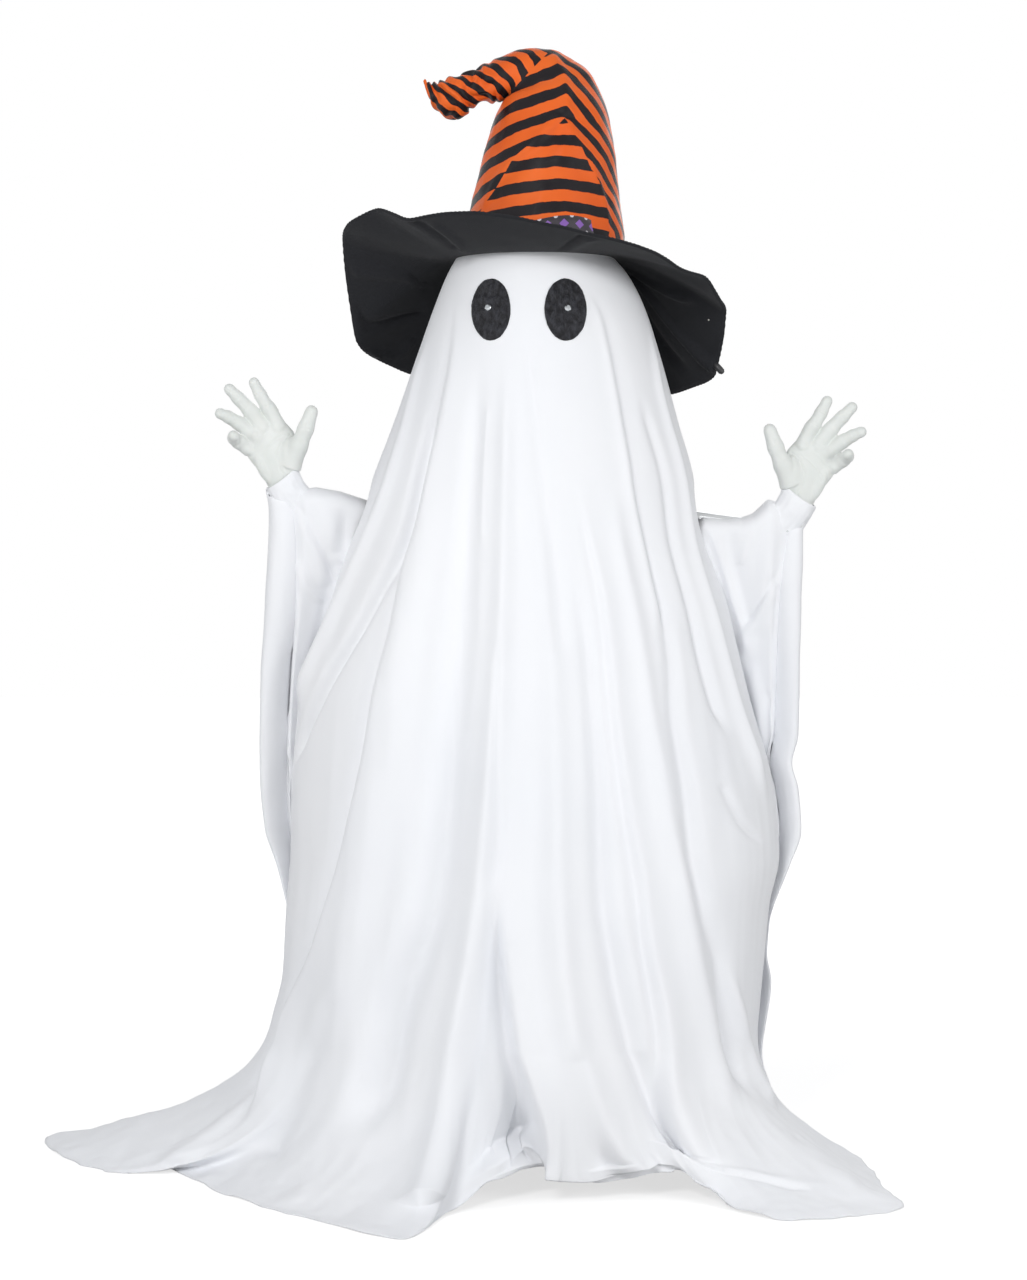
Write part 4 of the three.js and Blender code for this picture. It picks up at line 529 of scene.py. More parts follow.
def fold_heights(grid, folds, facing, deeper=1.0, crease_side=1):
    """The heights that a list of folds gives a grid, of whose columns those `facing` the camera
    take them. `deeper` multiplies them. Where a grid's columns run to the picture's left,
    `crease_side` is -1, which turns its creases over."""
    arcs = arc_lengths(grid)
    pixels = to_photo(grid)
    heights = np.zeros(grid.shape[:2])
    for kind, line, start, end, *fades in folds:
        rows, columns = line_on_grid(line, pixels, facing)
        factor = deeper * crease_side if kind == CREASE else deeper
        sizes = ((start[0] * factor, start[1]), (end[0] * factor, end[1]))
        add_fold(heights, arcs, kind, rows, columns, sizes, *fades)
    return heights


# Main sheet. Its half sizes down the figure: height, half width on the picture's left and right,
# half depth, and the depth of the two side folds in which the sleeves hang.
DRAPE = [
    (1.4272, 0.1245, 0.1245, 0.1245, 0),
    (1.4007, 0.139, 0.147, 0.139, 0),
    (1.3488, 0.16, 0.174, 0.151, 0),
    (1.2758, 0.186, 0.198, 0.165, 0),
    (1.1655, 0.225, 0.229, 0.185, 0.003),
    (1.0857, 0.256, 0.252, 0.199, 0.006),
    (0.99, 0.29, 0.268, 0.215, 0.01),
    (0.8704, 0.331, 0.309, 0.242, 0.026),
    (0.7309, 0.376, 0.344, 0.271, 0.044),
    (0.57, 0.389, 0.387, 0.298, 0.056),
    (0.48, 0.391, 0.394, 0.312, 0.058),
    (0.4, 0.398, 0.378, 0.328, 0.056),
    (0.29, 0.405, 0.366, 0.348, 0.05),
    (0.22, 0.421, 0.358, 0.362, 0.04),
]
HEM_RAGGED = 0.022  # share of its reach by which the hem draws in between its waves
DRAPE_END = 0.22  # height at which the cloth starts to run out along the floor
SIDE_FOLD_ANGLE = 100
SIDE_FOLD_SPREAD = 9.0
CROWN_GAP = 0.006  # between the head's top and the sheet
FLOOR_PULL = 0.42  # how far the cloth keeps falling before it turns along the floor, as a share
FLOOR_PULL_REACH = 0.30  # of its way to the hem, or of this length where that is shorter
# Where the sheet ends on the floor: angle from the front towards +X in degrees, the hem's place,
# and how high the cloth still stands a little way in from it.
HEM = [
    (-180, 0, 0.485, 0.001, 0.014),
    (-169, -0.09, 0.455, 0.01, 0.002),
    (-158, -0.182, 0.45, 0.001, 0.02),
    (-148, -0.255, 0.395, 0.012, 0.004),
    (-138, -0.33, 0.37, 0.001, 0.02),
    (-128, -0.395, 0.3, 0.01, 0.004),
    (-118, -0.49, 0.215, 0.01, 0.02),
    (-104, -0.61, 0.12, 0.006, 0.03),
    (-90, -0.735, 0.098, 0.002, 0.05),
    (-80, -0.802, 0.073, 0.001, 0.062),
    (-72, -0.77, -0.03, 0.001, 0.034),
    (-64, -0.702, -0.128, 0.001, 0.01),
    (-57, -0.64, -0.172, 0.001, 0.006),
    (-50, -0.578, -0.148, 0.004, 0.004),
    (-45, -0.52, -0.225, 0.001, 0.008),
    (-40, -0.478, -0.3, 0.001, 0.014),
    (-33, -0.405, -0.388, 0.001, 0.016),
    (-25, -0.3, -0.49, 0.001, 0.012),
    (-18, -0.19, -0.578, 0.001, 0.012),
    (-12, -0.124, -0.43, 0.006, 0.004),
    (-7, -0.07, -0.385, 0.036, 0),
    (3, 0.015, -0.34, 0.05, 0),
    (12, 0.092, -0.345, 0.026, 0),
    (23, 0.205, -0.335, 0.042, 0),
    (30, 0.255, -0.365, 0.024, 0),
    (38, 0.305, -0.43, 0.004, 0.006),
    (47, 0.372, -0.475, 0.001, 0.014),
    (54, 0.45, -0.45, 0.001, 0.012),
    (62, 0.546, -0.39, 0.001, 0.03),
    (70, 0.532, -0.271, 0.001, 0.045),
    (80, 0.515, -0.06, 0.001, 0.04),
    (100, 0.44, 0.09, 0.012, 0.02),
    (118, 0.425, 0.24, 0.01, 0.02),
    (128, 0.365, 0.29, 0.01, 0.004),
    (138, 0.325, 0.365, 0.001, 0.02),
    (148, 0.25, 0.395, 0.012, 0.004),
    (158, 0.18, 0.45, 0.001, 0.02),
    (169, 0.09, 0.455, 0.01, 0.002),
    (180, 0, 0.485, 0.001, 0.014),
]
# Folds of the front: kind, line as photograph pixels from the top down, then height and width in
# metres at the line's start and at its end. A last pair says at which ends a fold fades out, where
# it isn't both.
FRONT_FOLDS = [
    (RIDGE, [(430, 330), (389, 480), (350, 580), (316, 657), (296, 720)], (0.003, 0.012), (0.012, 0.018)),
    (VALLEY, [(436, 400), (410, 518), (366, 611), (327, 680), (294, 770)], (0.005, 0.011), (0.017, 0.016)),
    (CREASE, [(461, 278), (446, 380), (423, 480), (404, 560), (389, 634), (366, 734), (346, 834),
              (316, 942), (285, 1019), (238, 1127)], (0.002, 0.012), (0.015, 0.036)),
    (RIDGE, [(440, 480), (415, 600), (395, 720), (370, 850), (345, 960), (310, 1060)],
     (0.003, 0.02), (0.012, 0.046)),
    (VALLEY, [(480, 346), (474, 450), (466, 557), (457, 680), (447, 788), (431, 911), (393, 1019),
              (346, 1142)], (0.003, 0.012), (0.026, 0.04)),
    (RIDGE, [(507, 338), (505, 480), (500, 657), (489, 788), (473, 942), (454, 1058), (423, 1204)],
     (0.003, 0.01), (0.02, 0.03), (True, False)),
    (RIDGE, [(487, 400), (482, 470), (480, 547)], (0.001, 0.004), (0.0015, 0.006)),
    (VALLEY, [(500, 640), (497, 720), (496, 820), (491, 900)], (0.002, 0.006), (0.006, 0.01)),
    (CREASE, [(491, 868), (480, 1033), (463, 1122), (430, 1225)],
     (-0.003, 0.01), (-0.004, 0.03), (True, False)),
    (VALLEY, [(495, 870), (497, 975), (503, 1040), (518, 1100), (535, 1163)],
     (0.0015, 0.012), (0.022, 0.026)),
    (VALLEY, [(494, 900), (489, 1000), (487, 1060), (493, 1110), (506, 1163)],
     (0.001, 0.018), (0.034, 0.045)),
    (CREASE, [(497, 890), (500, 942), (508, 1011), (524, 1088), (543, 1162)],
     (0.001, 0.014), (0.032, 0.04), (True, False)),
    (VALLEY, [(526, 318), (540, 448), (552, 560), (562, 666)], (0.002, 0.008), (0.005, 0.016)),
    (RIDGE, [(540, 470), (552, 673), (556, 865), (564, 973), (590, 1096), (640, 1166)],
     (0.002, 0.014), (0.016, 0.03), (True, False)),
    (VALLEY, [(575, 560), (590, 673), (602, 865), (618, 973), (645, 1070), (680, 1150)],
     (0.003, 0.01), (0.022, 0.026), (True, False)),
    (CREASE, [(575, 470), (601, 596), (624, 788), (647, 942), (666, 1058), (682, 1150)],
     (0.002, 0.008), (0.01, 0.024), (True, False)),
    (RIDGE, [(612, 470), (640, 640), (665, 800), (690, 940), (715, 1060), (745, 1120)],
     (0.003, 0.012), (0.012, 0.026)),
    (CREASE, [(582, 282), (602, 318), (613, 365), (623, 421), (632, 476), (650, 560), (668, 640)],
     (-0.0018, 0.01), (-0.007, 0.018)),
    (VALLEY, [(643, 519), (670, 650), (678, 734), (693, 850), (724, 973), (760, 1100)],
     (0.003, 0.01), (0.016, 0.024)),
    (RIDGE, [(645, 310), (662, 400), (685, 500), (708, 600), (740, 720), (768, 810)],
     (0.003, 0.01), (0.011, 0.016)),
    (VALLEY, [(640, 390), (668, 500), (700, 640), (730, 740)], (0.003, 0.01), (0.011, 0.015)),
    (VALLEY, [(722, 784), (736, 814), (750, 834), (764, 843)], (0.003, 0.011), (0.004, 0.015)),
    (RIDGE, [(700, 880), (724, 960), (752, 1060), (780, 1110)], (0.004, 0.014), (0.01, 0.022)),
    (VALLEY, [(340, 980), (300, 1080), (262, 1160)], (0.003, 0.02), (0.01, 0.032)),
    (RIDGE, [(285, 1040), (230, 1120), (160, 1165)], (0.003, 0.018), (0.008, 0.024)),
    (CREASE, [(684, 1152), (756, 1177), (811, 1190)], (0.004, 0.014), (0.004, 0.02)),
    (VALLEY, [(575, 1040), (590, 1110), (610, 1165)], (0.003, 0.014), (0.008, 0.02), (True, False)),
]
FOLD_DEPTH = 1.4  # all the front's folds are this much deeper
BACK_SEED = 31
# Finer wrinkles of the sheet: how fine per metre, how drawn out, their place in the noise, height in
# metres, how fast and how late they set in down the sheet, and whether they are weak at its middle
SHEET_WRINKLES = [
    (15, 16.0, 3.1, 0.0034, 3, 0.5, False),
    (42, 14.0, 11.7, 0.001, 4, 0.5, False),
    (24, 2.0, 6.3, 0.0008, 3, 0.8, False),
    (19, 1.4, 9.1, 0.005, 7, 5.9, True),
    (47, 1.0, 4.4, 0.0014, 7, 5.7, True),
]
SMOOTH_ANGLE = 14  # within this angle from the front the hem's wrinkles are weak
SHEET_THICKNESS = 0.0014
FLOOR_GAP = 0.0016  # the least height of the cloth's outside over the floor
FRONT_ANGLE = 106  # the front's columns lie closer, out to this angle on each side
FRONT_COLUMNS = 520
BACK_COLUMNS = 92  # of each half of the back
FACING_ANGLE = 80  # the lines of the front's folds lie within this angle on each side
CROWN_ROWS = 14
DRAPE_ROWS = 196
FLOOR_ROWS = 84
# The oval holes for the arms
ARMHOLE_TOP = 1.081
ARMHOLE_BOTTOM = 0.968
ARMHOLE_DEPTH = -0.011
ARMHOLE_HALF_DEPTH = 0.036


def drape_rows(angles):
    """The smooth sheet without folds, from the crown to the hem, as a grid of points."""
    turn = np.radians(angles)
    sine, cosine = np.sin(turn), np.cos(turn)
    _, crown_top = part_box("head_shell_front")
    seat_height, seat_radius = DRAPE[0][:2]
    rows = []
    for down in np.linspace(0.02, 1, CROWN_ROWS):
        radius = seat_radius * math.sin(down * math.pi / 2)
        z = seat_height + (crown_top.z + CROWN_GAP - seat_height) * math.cos(down * math.pi / 2)
        rows.append(np.stack([radius * sine, -radius * cosine, np.full_like(sine, z)], axis=1))
    side = np.exp(-(((np.abs(angles) - SIDE_FOLD_ANGLE) / SIDE_FOLD_SPREAD) ** 2))
    for z in np.linspace(seat_height, DRAPE_END, DRAPE_ROWS)[1:]:
        left, right, depth, fold = (column_of(DRAPE, k, z) for k in (1, 2, 3, 4))
        width = np.where(angles < 0, left, right) - fold * side
        rows.append(np.stack([width * sine, -(depth - fold * side) * cosine, np.full_like(sine, z)], axis=1))
    last, before = rows[-1], rows[-2]
    fall = (last - before) / np.linalg.norm(last - before, axis=1, keepdims=True)
    hem = np.stack([column_of(HEM, k, angles) for k in (1, 2, 3)], axis=1)
    ragged = np.array([ring_noise(a, 14, 3.7) for a in turn])
    hem[:, :2] *= 1 - HEM_RAGGED * np.abs(ragged)[:, None]
    drop = np.linalg.norm(last - hem, axis=1, keepdims=True)
    start_pull = last + fall * FLOOR_PULL * np.minimum(drop, FLOOR_PULL_REACH)
    end_pull = hem + (last - hem) * np.array([0.5, 0.5, 0.0])
    end_pull[:, 2] = hem[:, 2] + column_of(HEM, 4, angles)
    for t in np.linspace(0, 1, FLOOR_ROWS)[1:]:
        falling = last * (1 - t) ** 3 + start_pull * 3 * t * (1 - t) ** 2
        rows.append(falling + end_pull * 3 * t**2 * (1 - t) + hem * t**3)
    return np.array(rows)


def back_folds(draw):
    """Folds of the back: kind, start and end as angle and row share, heights and widths."""
    folds = []
    angles = [-172, -160, -149, -138, -127, -116, 117, 128, 139, 149, 160, 171]
    for number, angle in enumerate(angles):
        kind = RIDGE if number % 2 else VALLEY
        start = draw.uniform(0.16, 0.34)
        drift = draw.uniform(-5, 5)
        deep = draw.uniform(0.012, 0.024)
        wide = draw.uniform(0.026, 0.04)
        folds.append((kind, (angle * 0.98 + drift, start), (angle, 1.0), (0.002, 0.014), (deep, wide)))
    for _ in range(9):
        angle = draw.choice((-1, 1)) * draw.uniform(108, 168)
        start = draw.uniform(0.2, 0.55)
        end = start + draw.uniform(0.2, 0.4)
        crease = (draw.choice((CREASE, RIDGE, VALLEY)), (angle, start), (angle + draw.uniform(-7, 7), end))
        folds.append((*crease, (0.001, 0.008), (draw.uniform(0.003, 0.006), 0.016)))
    return folds


def sheet_heights(grid, angles):
    """The folds of the front and the back, and the finer wrinkles between them."""
    heights = fold_heights(grid, FRONT_FOLDS, np.abs(angles) < FACING_ANGLE, FOLD_DEPTH)
    arcs = arc_lengths(grid)
    count = len(grid)
    for kind, start, end, top_size, low_size in back_folds(random.Random(BACK_SEED)):
        rows = [int(start[1] * count), min(int(end[1] * count), count - 1)]
        columns = np.interp([start[0], end[0]], angles, np.arange(len(angles)))
        add_fold(heights, arcs, kind, rows, columns, (top_size, low_size), (True, end[1] < 1))
    share = np.linspace(0, 1, count)[:, None]
    beside = np.clip((np.abs(angles) - SMOOTH_ANGLE) / 12, 0.12, 1)
    for fineness, stretch, seed, height, steep, late, off_middle in SHEET_WRINKLES:
        fade = np.clip(share * steep - late, 0, 1)
        heights += wrinkles(grid, fineness, stretch, seed) * height * fade * (beside if off_middle else 1)
    heights[:CROWN_ROWS] = 0
    return heights * np.minimum(1, np.arange(count)[:, None] / 40)


def in_armhole(corners):
    """Whether a face lies in one of the ovals through which the arms pass."""
    x, y, z = corners.mean(axis=0)
    deep = (y - ARMHOLE_DEPTH) / ARMHOLE_HALF_DEPTH
    high = (z - (ARMHOLE_TOP + ARMHOLE_BOTTOM) / 2) / ((ARMHOLE_TOP - ARMHOLE_BOTTOM) / 2)
    return abs(x) > 0.2 and deep**2 + high**2 < 1


def make_sheet(materials):
    """The costume's sheet. Gives back what finds the place on it that the eyes are laid on."""
    front = np.linspace(-FRONT_ANGLE, FRONT_ANGLE, FRONT_COLUMNS)
    left = np.linspace(-180, -FRONT_ANGLE, BACK_COLUMNS)
    right = np.linspace(FRONT_ANGLE, 180, BACK_COLUMNS)
    angles = np.concatenate([left[:-1], front, right[1:]])
    grid = drape_rows(angles)
    normals = outward_normals(grid, grid * np.array([1, 1, 0]))
    grid = grid + normals * sheet_heights(grid, angles)[..., None]
    grid[..., 2] = np.maximum(grid[..., 2], FLOOR_GAP)
    grid[:, -1] = grid[:, 0]
    rows, columns = grid.shape[:2]
    points = grid[:, :-1].reshape(-1, 3)
    faces = grid_faces(rows, columns - 1, around=True)
    faces = [face for face in faces if not in_armhole(points[list(face)])]
    sheet = add_object("sheet", points, faces, materials["cloth"])
    surface = cover_of(sheet)
    thicken(sheet, SHEET_THICKNESS)
    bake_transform(sheet)
    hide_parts("main_sheet")
    return surface


def cover_of(obj):
    """Finds the place and the normal of a piece's front at any x and z."""
    mesh = obj.data
    tree = BVHTree.FromPolygons([v.co for v in mesh.vertices], [tuple(p.vertices) for p in mesh.polygons])
    return lambda x, z: tree.ray_cast(Vector((x, -1.0, z)), Vector((0, 1, 0)))[:2]


# Eyes: middle of each patch and its half size, and its crystal, in photograph pixels
EYE_DEPTH = -0.15  # the depth in the figure at which their pixels are read
EYES = {
    "right": {"patch": (491, 309), "half": (19.6, 31.7), "crystal": (488.5, 307)},
    "left": {"patch": (565.6, 309.5), "half": (21.2, 31.7), "crystal": (567.6, 308)},
}
PATCH_SEED = 5
PATCH_THICKNESS = 0.0005
PATCH_EDGE_LIFT = 0.0007  # how far a patch's rim stands off the sheet
PATCH_RINGS = 26
PATCH_SIDES = 120


def make_patch(name, eye, surface, materials, draw):
    middle = from_photo(eye["patch"], EYE_DEPTH)
    edge = from_photo((eye["patch"][0] + eye["half"][0], eye["patch"][1] + eye["half"][1]), EYE_DEPTH)
    half_width, half_height = edge[0] - middle[0], middle[2] - edge[2]
    seed = draw.uniform(0, 50)
    points = []
    for r in range(PATCH_RINGS + 1):
        share = r / PATCH_RINGS
        for k in range(PATCH_SIDES):
            turn = 2 * math.pi * k / PATCH_SIDES
            uneven = 1 + 0.018 * ring_noise(turn, 2.2, seed)
            uneven += 0.01 * ring_noise(turn, 9, seed)
            x = middle[0] + half_width * share * uneven * math.cos(turn)
            z = middle[2] + half_height * share * uneven * math.sin(turn)
            hit, normal = surface(x, z)
            radial = ring_noise(turn, 6, 3 * share + seed)
            ray = ring_noise(turn, 16, 2 * share + seed)
            crumple = noise.noise(Vector((x * 150, z * 110, seed)))
            lift = 0.002 + (0.001 * radial + 0.0009 * ray) * share + 0.0018 * crumple * min(1, 3 * share)
            out = Vector((normal.x, -abs(normal.y), normal.z))
            points.append(hit + out * (lift if r < PATCH_RINGS else PATCH_EDGE_LIFT))
    faces = grid_faces(PATCH_RINGS + 1, PATCH_SIDES, around=True)
    patch = add_object(f"{name}_patch", points, faces, materials["patch"])
    weld(patch, to_front=True)
    thicken(patch, PATCH_THICKNESS)
    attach(patch, "torso")
    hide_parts(f"{name}_eye_patch")


CRYSTAL_RADIUS = 0.0056
CRYSTAL_LIFT = 0.0012
CRYSTAL_LEVELS = [
    # share of the radius, height, corners, and how far they are turned, in corners
    (0.0, 0.0045, 1, 0), (0.55, 0.0045, 8, 0), (0.82, 0.0034, 8, 0.5),
    (1.0, 0.002, 16, 0), (0.98, 0.001, 16, 0), (0.55, 0.0, 8, 0.5),
]


def make_crystal(name, eye, surface, materials):
    """A round cut stone: table, crown facets, girdle and pavilion."""
    spot = from_photo(eye["crystal"], EYE_DEPTH)
    hit, normal = surface(spot[0], spot[2])
    out = Vector((normal.x, -abs(normal.y), normal.z)).normalized()
    side = out.cross(Vector((0, 0, 1))).normalized()
    up = side.cross(out)
    bm = bmesh.new()
    for share, height, sides, shift in CRYSTAL_LEVELS:
        for k in range(sides):
            turn = 2 * math.pi * (k + shift) / sides
            reach = CRYSTAL_RADIUS * share
            offset = side * math.cos(turn) * reach + up * math.sin(turn) * reach
            bm.verts.new(hit + offset + out * (height + CRYSTAL_LIFT))
    hull = bmesh.ops.convex_hull(bm, input=bm.verts)
    inner = [item for item in hull["geom_interior"] if isinstance(item, bmesh.types.BMVert)]
    bmesh.ops.delete(bm, geom=inner, context="VERTS")
    mesh = bpy.data.meshes.new(f"{name}_crystal")
    bm.to_mesh(mesh)
    bm.free()
    mesh.materials.append(materials["crystal"])
    gem = bpy.data.objects.new(f"{name}_crystal", mesh)
    bpy.context.scene.collection.objects.link(gem)
    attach(gem, "torso")
    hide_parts(f"{name}_eye_lens")


# Hat. The brim's rim: angle from the front towards +X in degrees, reach from the head's axis and
# rise over the seat, as in the solid, with a few more points where the photograph shows waves.
BRIM_RIM = [
    (-180, 0.292, -0.2), (-160, 0.298, -0.185), (-145, 0.297, -0.177), (-133, 0.292, -0.169),
    (-120, 0.298, -0.15), (-108, 0.302, -0.125), (-102, 0.303, -0.07), (-97, 0.304, -0.022),
    (-90, 0.304, 0.027), (-80, 0.299, 0.044), (-64, 0.272, 0.063), (-54, 0.27, 0.052),
    (-45, 0.268, 0.042), (-34, 0.262, 0.046), (-21, 0.257, 0.047), (-8, 0.252, 0.04),
    (2, 0.251, 0.028), (15, 0.25, 0.018), (30, 0.254, 0.004), (44, 0.262, -0.01),
    (58, 0.266, -0.029), (69, 0.278, -0.037), (82, 0.295, -0.069), (92, 0.304, -0.085),
    (98, 0.305, -0.125), (104, 0.305, -0.161), (108, 0.306, -0.182), (120, 0.3, -0.199),
    (131, 0.303, -0.204), (150, 0.3, -0.208), (160, 0.296, -0.21), (180, 0.292, -0.2),
]
BRIM_FLAT = 0.016  # the flat strip that rests on the head
BRIM_DROP_POWER = 1.4
BRIM_THICKNESS = 0.0025
BRIM_ROWS = 46
BRIM_COLUMNS = 481
BRIM_RUFFLE = 0.004
# Creases of the brim's underside, as photograph pixels from the head outwards
BRIM_RADIAL_FOLDS = [
    (CREASE, [(560, 250), (572, 243), (586, 234)], (0.006, 0.008), (0.008, 0.01), (False, True)),
    (VALLEY, [(458, 249), (436, 232), (412, 219)], (0.004, 0.01), (0.007, 0.014)),
    (RIDGE, [(470, 252), (452, 236), (432, 222)], (0.003, 0.008), (0.005, 0.01)),
    (RIDGE, [(452, 290), (410, 276), (348, 262)], (0.005, 0.009), (0.01, 0.014)),
    (VALLEY, [(440, 318), (400, 318), (357, 312)], (0.005, 0.01), (0.01, 0.018)),
    (RIDGE, [(436, 352), (402, 352), (366, 350)], (0.003, 0.008), (0.008, 0.014)),
    (RIDGE, [(600, 268), (640, 284), (672, 320), (712, 366)],
     (0.004, 0.007), (0.013, 0.01), (True, False)),
    (VALLEY, [(598, 272), (634, 300), (660, 340), (690, 372)], (0.003, 0.009), (0.009, 0.014)),
    (RIDGE, [(596, 262), (640, 276), (700, 297)], (0.003, 0.006), (0.01, 0.008)),
]
# The cone's outline in the photograph: each ring's end on the picture's left or underside, its
# end on the right or top, and half its depth as a share of half its length.
CONE_RINGS = [
    ((470, 214), (624, 238), 1.0),
    ((475, 192), (618, 192), 1.0),
    ((482, 162), (616, 160), 1.0),
    ((490, 136), (611, 134), 0.98),
    ((498, 114), (604, 106), 0.95),
    ((506, 100), (594, 84), 0.9),
    ((510, 98), (584, 69), 0.82),
    ((510, 97), (567, 58), 0.78),
    ((509, 97), (551, 51), 0.74),
    ((508, 97), (534, 49), 0.78),
    ((506, 98), (519, 51), 0.85),
    ((501, 100), (503, 57), 0.92),
    ((493, 101), (489, 62), 0.95),
    ((483, 102), (476, 70), 1.0),
    ((473, 106), (463, 76), 1.0),
    ((466, 113), (455, 79), 1.0),
    ((456, 119), (446, 81), 0.95),
    ((445, 116), (439, 84), 0.95),
    ((436, 107), (433, 85), 0.9),
    ((430, 95), (428, 84), 0.9),
    ((425, 83), (424, 80), 0.9),
]
CONE_ROWS_PER_RING = 9
CONE_SIDES = 168
CONE_WALL = 0.0012
CONE_FOOT = (-0.1265, 0.1285)  # the ends of the ring at the cone's foot, across the figure
CONE_FRONT_COLUMNS = 46  # as many columns on each side of the middle take the lines of the front
FOOT_ROW = 20  # the columns that lie before this depth in this row take the cone's folds
FOOT_FRONT = -0.01
CRUMPLED_RINGS = (11.5, 21.2)  # between these places in CONE_RINGS the arm is crumpled
CONE_RIDGE = [(550, 54), (558, 68), (565, 88), (566, 104), (564, 120)]
CONE_FOLDS = [
    (RIDGE, CONE_RIDGE, (0.005, 0.009), (0.004, 0.01)),
    (CREASE, [(563, 119), (545, 134), (530, 151), (509, 168), (495, 190), (484, 210)],
     (-0.003, 0.012), (-0.005, 0.016), (True, False)),
    (RIDGE, [(566, 120), (577, 140), (590, 168), (601, 193), (609, 228)],
     (0.004, 0.007), (0.005, 0.009), (True, False)),
    (VALLEY, [(572, 132), (583, 152), (590, 172)], (0.003, 0.004), (0.003, 0.005)),
    (VALLEY, [(560, 128), (556, 140), (548, 160)], (0.002, 0.01), (0.004, 0.02)),
    (RIDGE, [(546, 184), (543, 200), (530, 214)], (0.002, 0.007), (0.003, 0.01)),
]
STRIPE = 0.0176  # width of one stripe
LEFT_SLOPE = 0.30  # how far a stripe falls for each unit to the left of the cone's ridge
RIGHT_SLOPE = 0.95
# The pressed triangle over the brim, in which the stripes run level
TRIANGLE_LEFT = [(564, 118), (540, 137), (515, 157), (497, 185), (482, 212)]
TRIANGLE_RIGHT = [(565, 118), (577, 142), (590, 170), (600, 192), (609, 230)]
BEND_RING = 8.9  # where the cone bends over, as a place in CONE_RINGS
ARM_STRIPES = 1.5  # how much closer the stripes lie on the bent arm
ARM_LEAN = -1.2  # and how far they lean on it


def lofted_cone():
    """Rings of the cone from its base to its tip, as rows of points, first column at the back."""
    ends = [(from_photo(a, 0.0), from_photo(b, 0.0), depth) for a, b, depth in CONE_RINGS]
    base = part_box("hat_cone")[0].z
    ends.insert(0, (*(np.array([x, 0, base]) for x in CONE_FOOT), 1.0))
    keys = np.arange(len(ends))
    fine = np.linspace(0, len(ends) - 1, (len(ends) - 1) * CONE_ROWS_PER_RING + 1)
    left, right = (smooth_columns(keys, [end[k] for end in ends], fine) for k in (0, 1))
    depth = smooth_curve(keys, [end[2] for end in ends], fine)
    middle, half = (left + right) / 2, (right - left) / 2
    reach = np.linalg.norm(half, axis=1)
    turn = np.linspace(0, 2 * math.pi, CONE_SIDES + 1)
    side, back = -np.sin(turn), np.cos(turn)
    rows = middle[:, None] + half[:, None] * side[None, :, None]
    rows[..., 1] += (reach * depth)[:, None] * back[None, :]
    return rows, fine


def stripe_heights(grid, fine):
    """Flat-cut height of each point, in pairs of stripes: first for the cone, a chevron with its
    peak on the ridge, then for the level triangle and the bent arm. With them, how far each point
    lies inside the triangle and past the bend."""
    middle = CONE_SIDES // 2
    climb = np.linalg.norm(np.diff(grid[:, middle], axis=0), axis=1)
    along = np.concatenate([[0], np.cumsum(climb)])
    arcs = arc_lengths(grid)
    pixels = to_photo(grid)
    facing = np.abs(np.arange(CONE_SIDES + 1) - middle) < CONE_FRONT_COLUMNS
    every_row = np.arange(len(grid))

    def arc_of(line):
        rows, columns = line_on_grid(line, pixels, facing)
        place = np.interp(every_row, rows, columns)
        low = np.floor(place).astype(int)
        share = place - low
        return (arcs[every_row, low] * (1 - share) + arcs[every_row, low + 1] * share)[:, None], rows[-1]

    ridge, _ = arc_of(CONE_RIDGE + [(568, 150), (575, 190), (580, 225)])
    left, apex_row = arc_of(TRIANGLE_LEFT)
    right, _ = arc_of(TRIANGLE_RIGHT)
    across = arcs - ridge
    chevron = grid[..., 2] + np.where(across < 0, LEFT_SLOPE * -across, RIGHT_SLOPE * across)
    below_apex = (apex_row - every_row[:, None]) * 0.002
    in_triangle = np.minimum(np.minimum(arcs - left, right - arcs), below_apex)
    on_arm = np.broadcast_to((fine[:, None] - BEND_RING) * 0.01, arcs.shape)
    waves = wrinkles(grid, 60, 1.0, 7.7)
    level = grid[..., 2] + 0.1 * np.abs(across + 0.02)
    arm = along[:, None] * ARM_STRIPES + ARM_LEAN * across + 0.006 * waves
    other = np.where(fine[:, None] < (BEND_RING + fine[apex_row]) / 2, level + STRIPE * 0.5, arm)
    pair = 2 * STRIPE
    return (chevron + 0.0014 * waves) / pair, (other + 0.001 * waves) / pair, in_triangle, on_arm


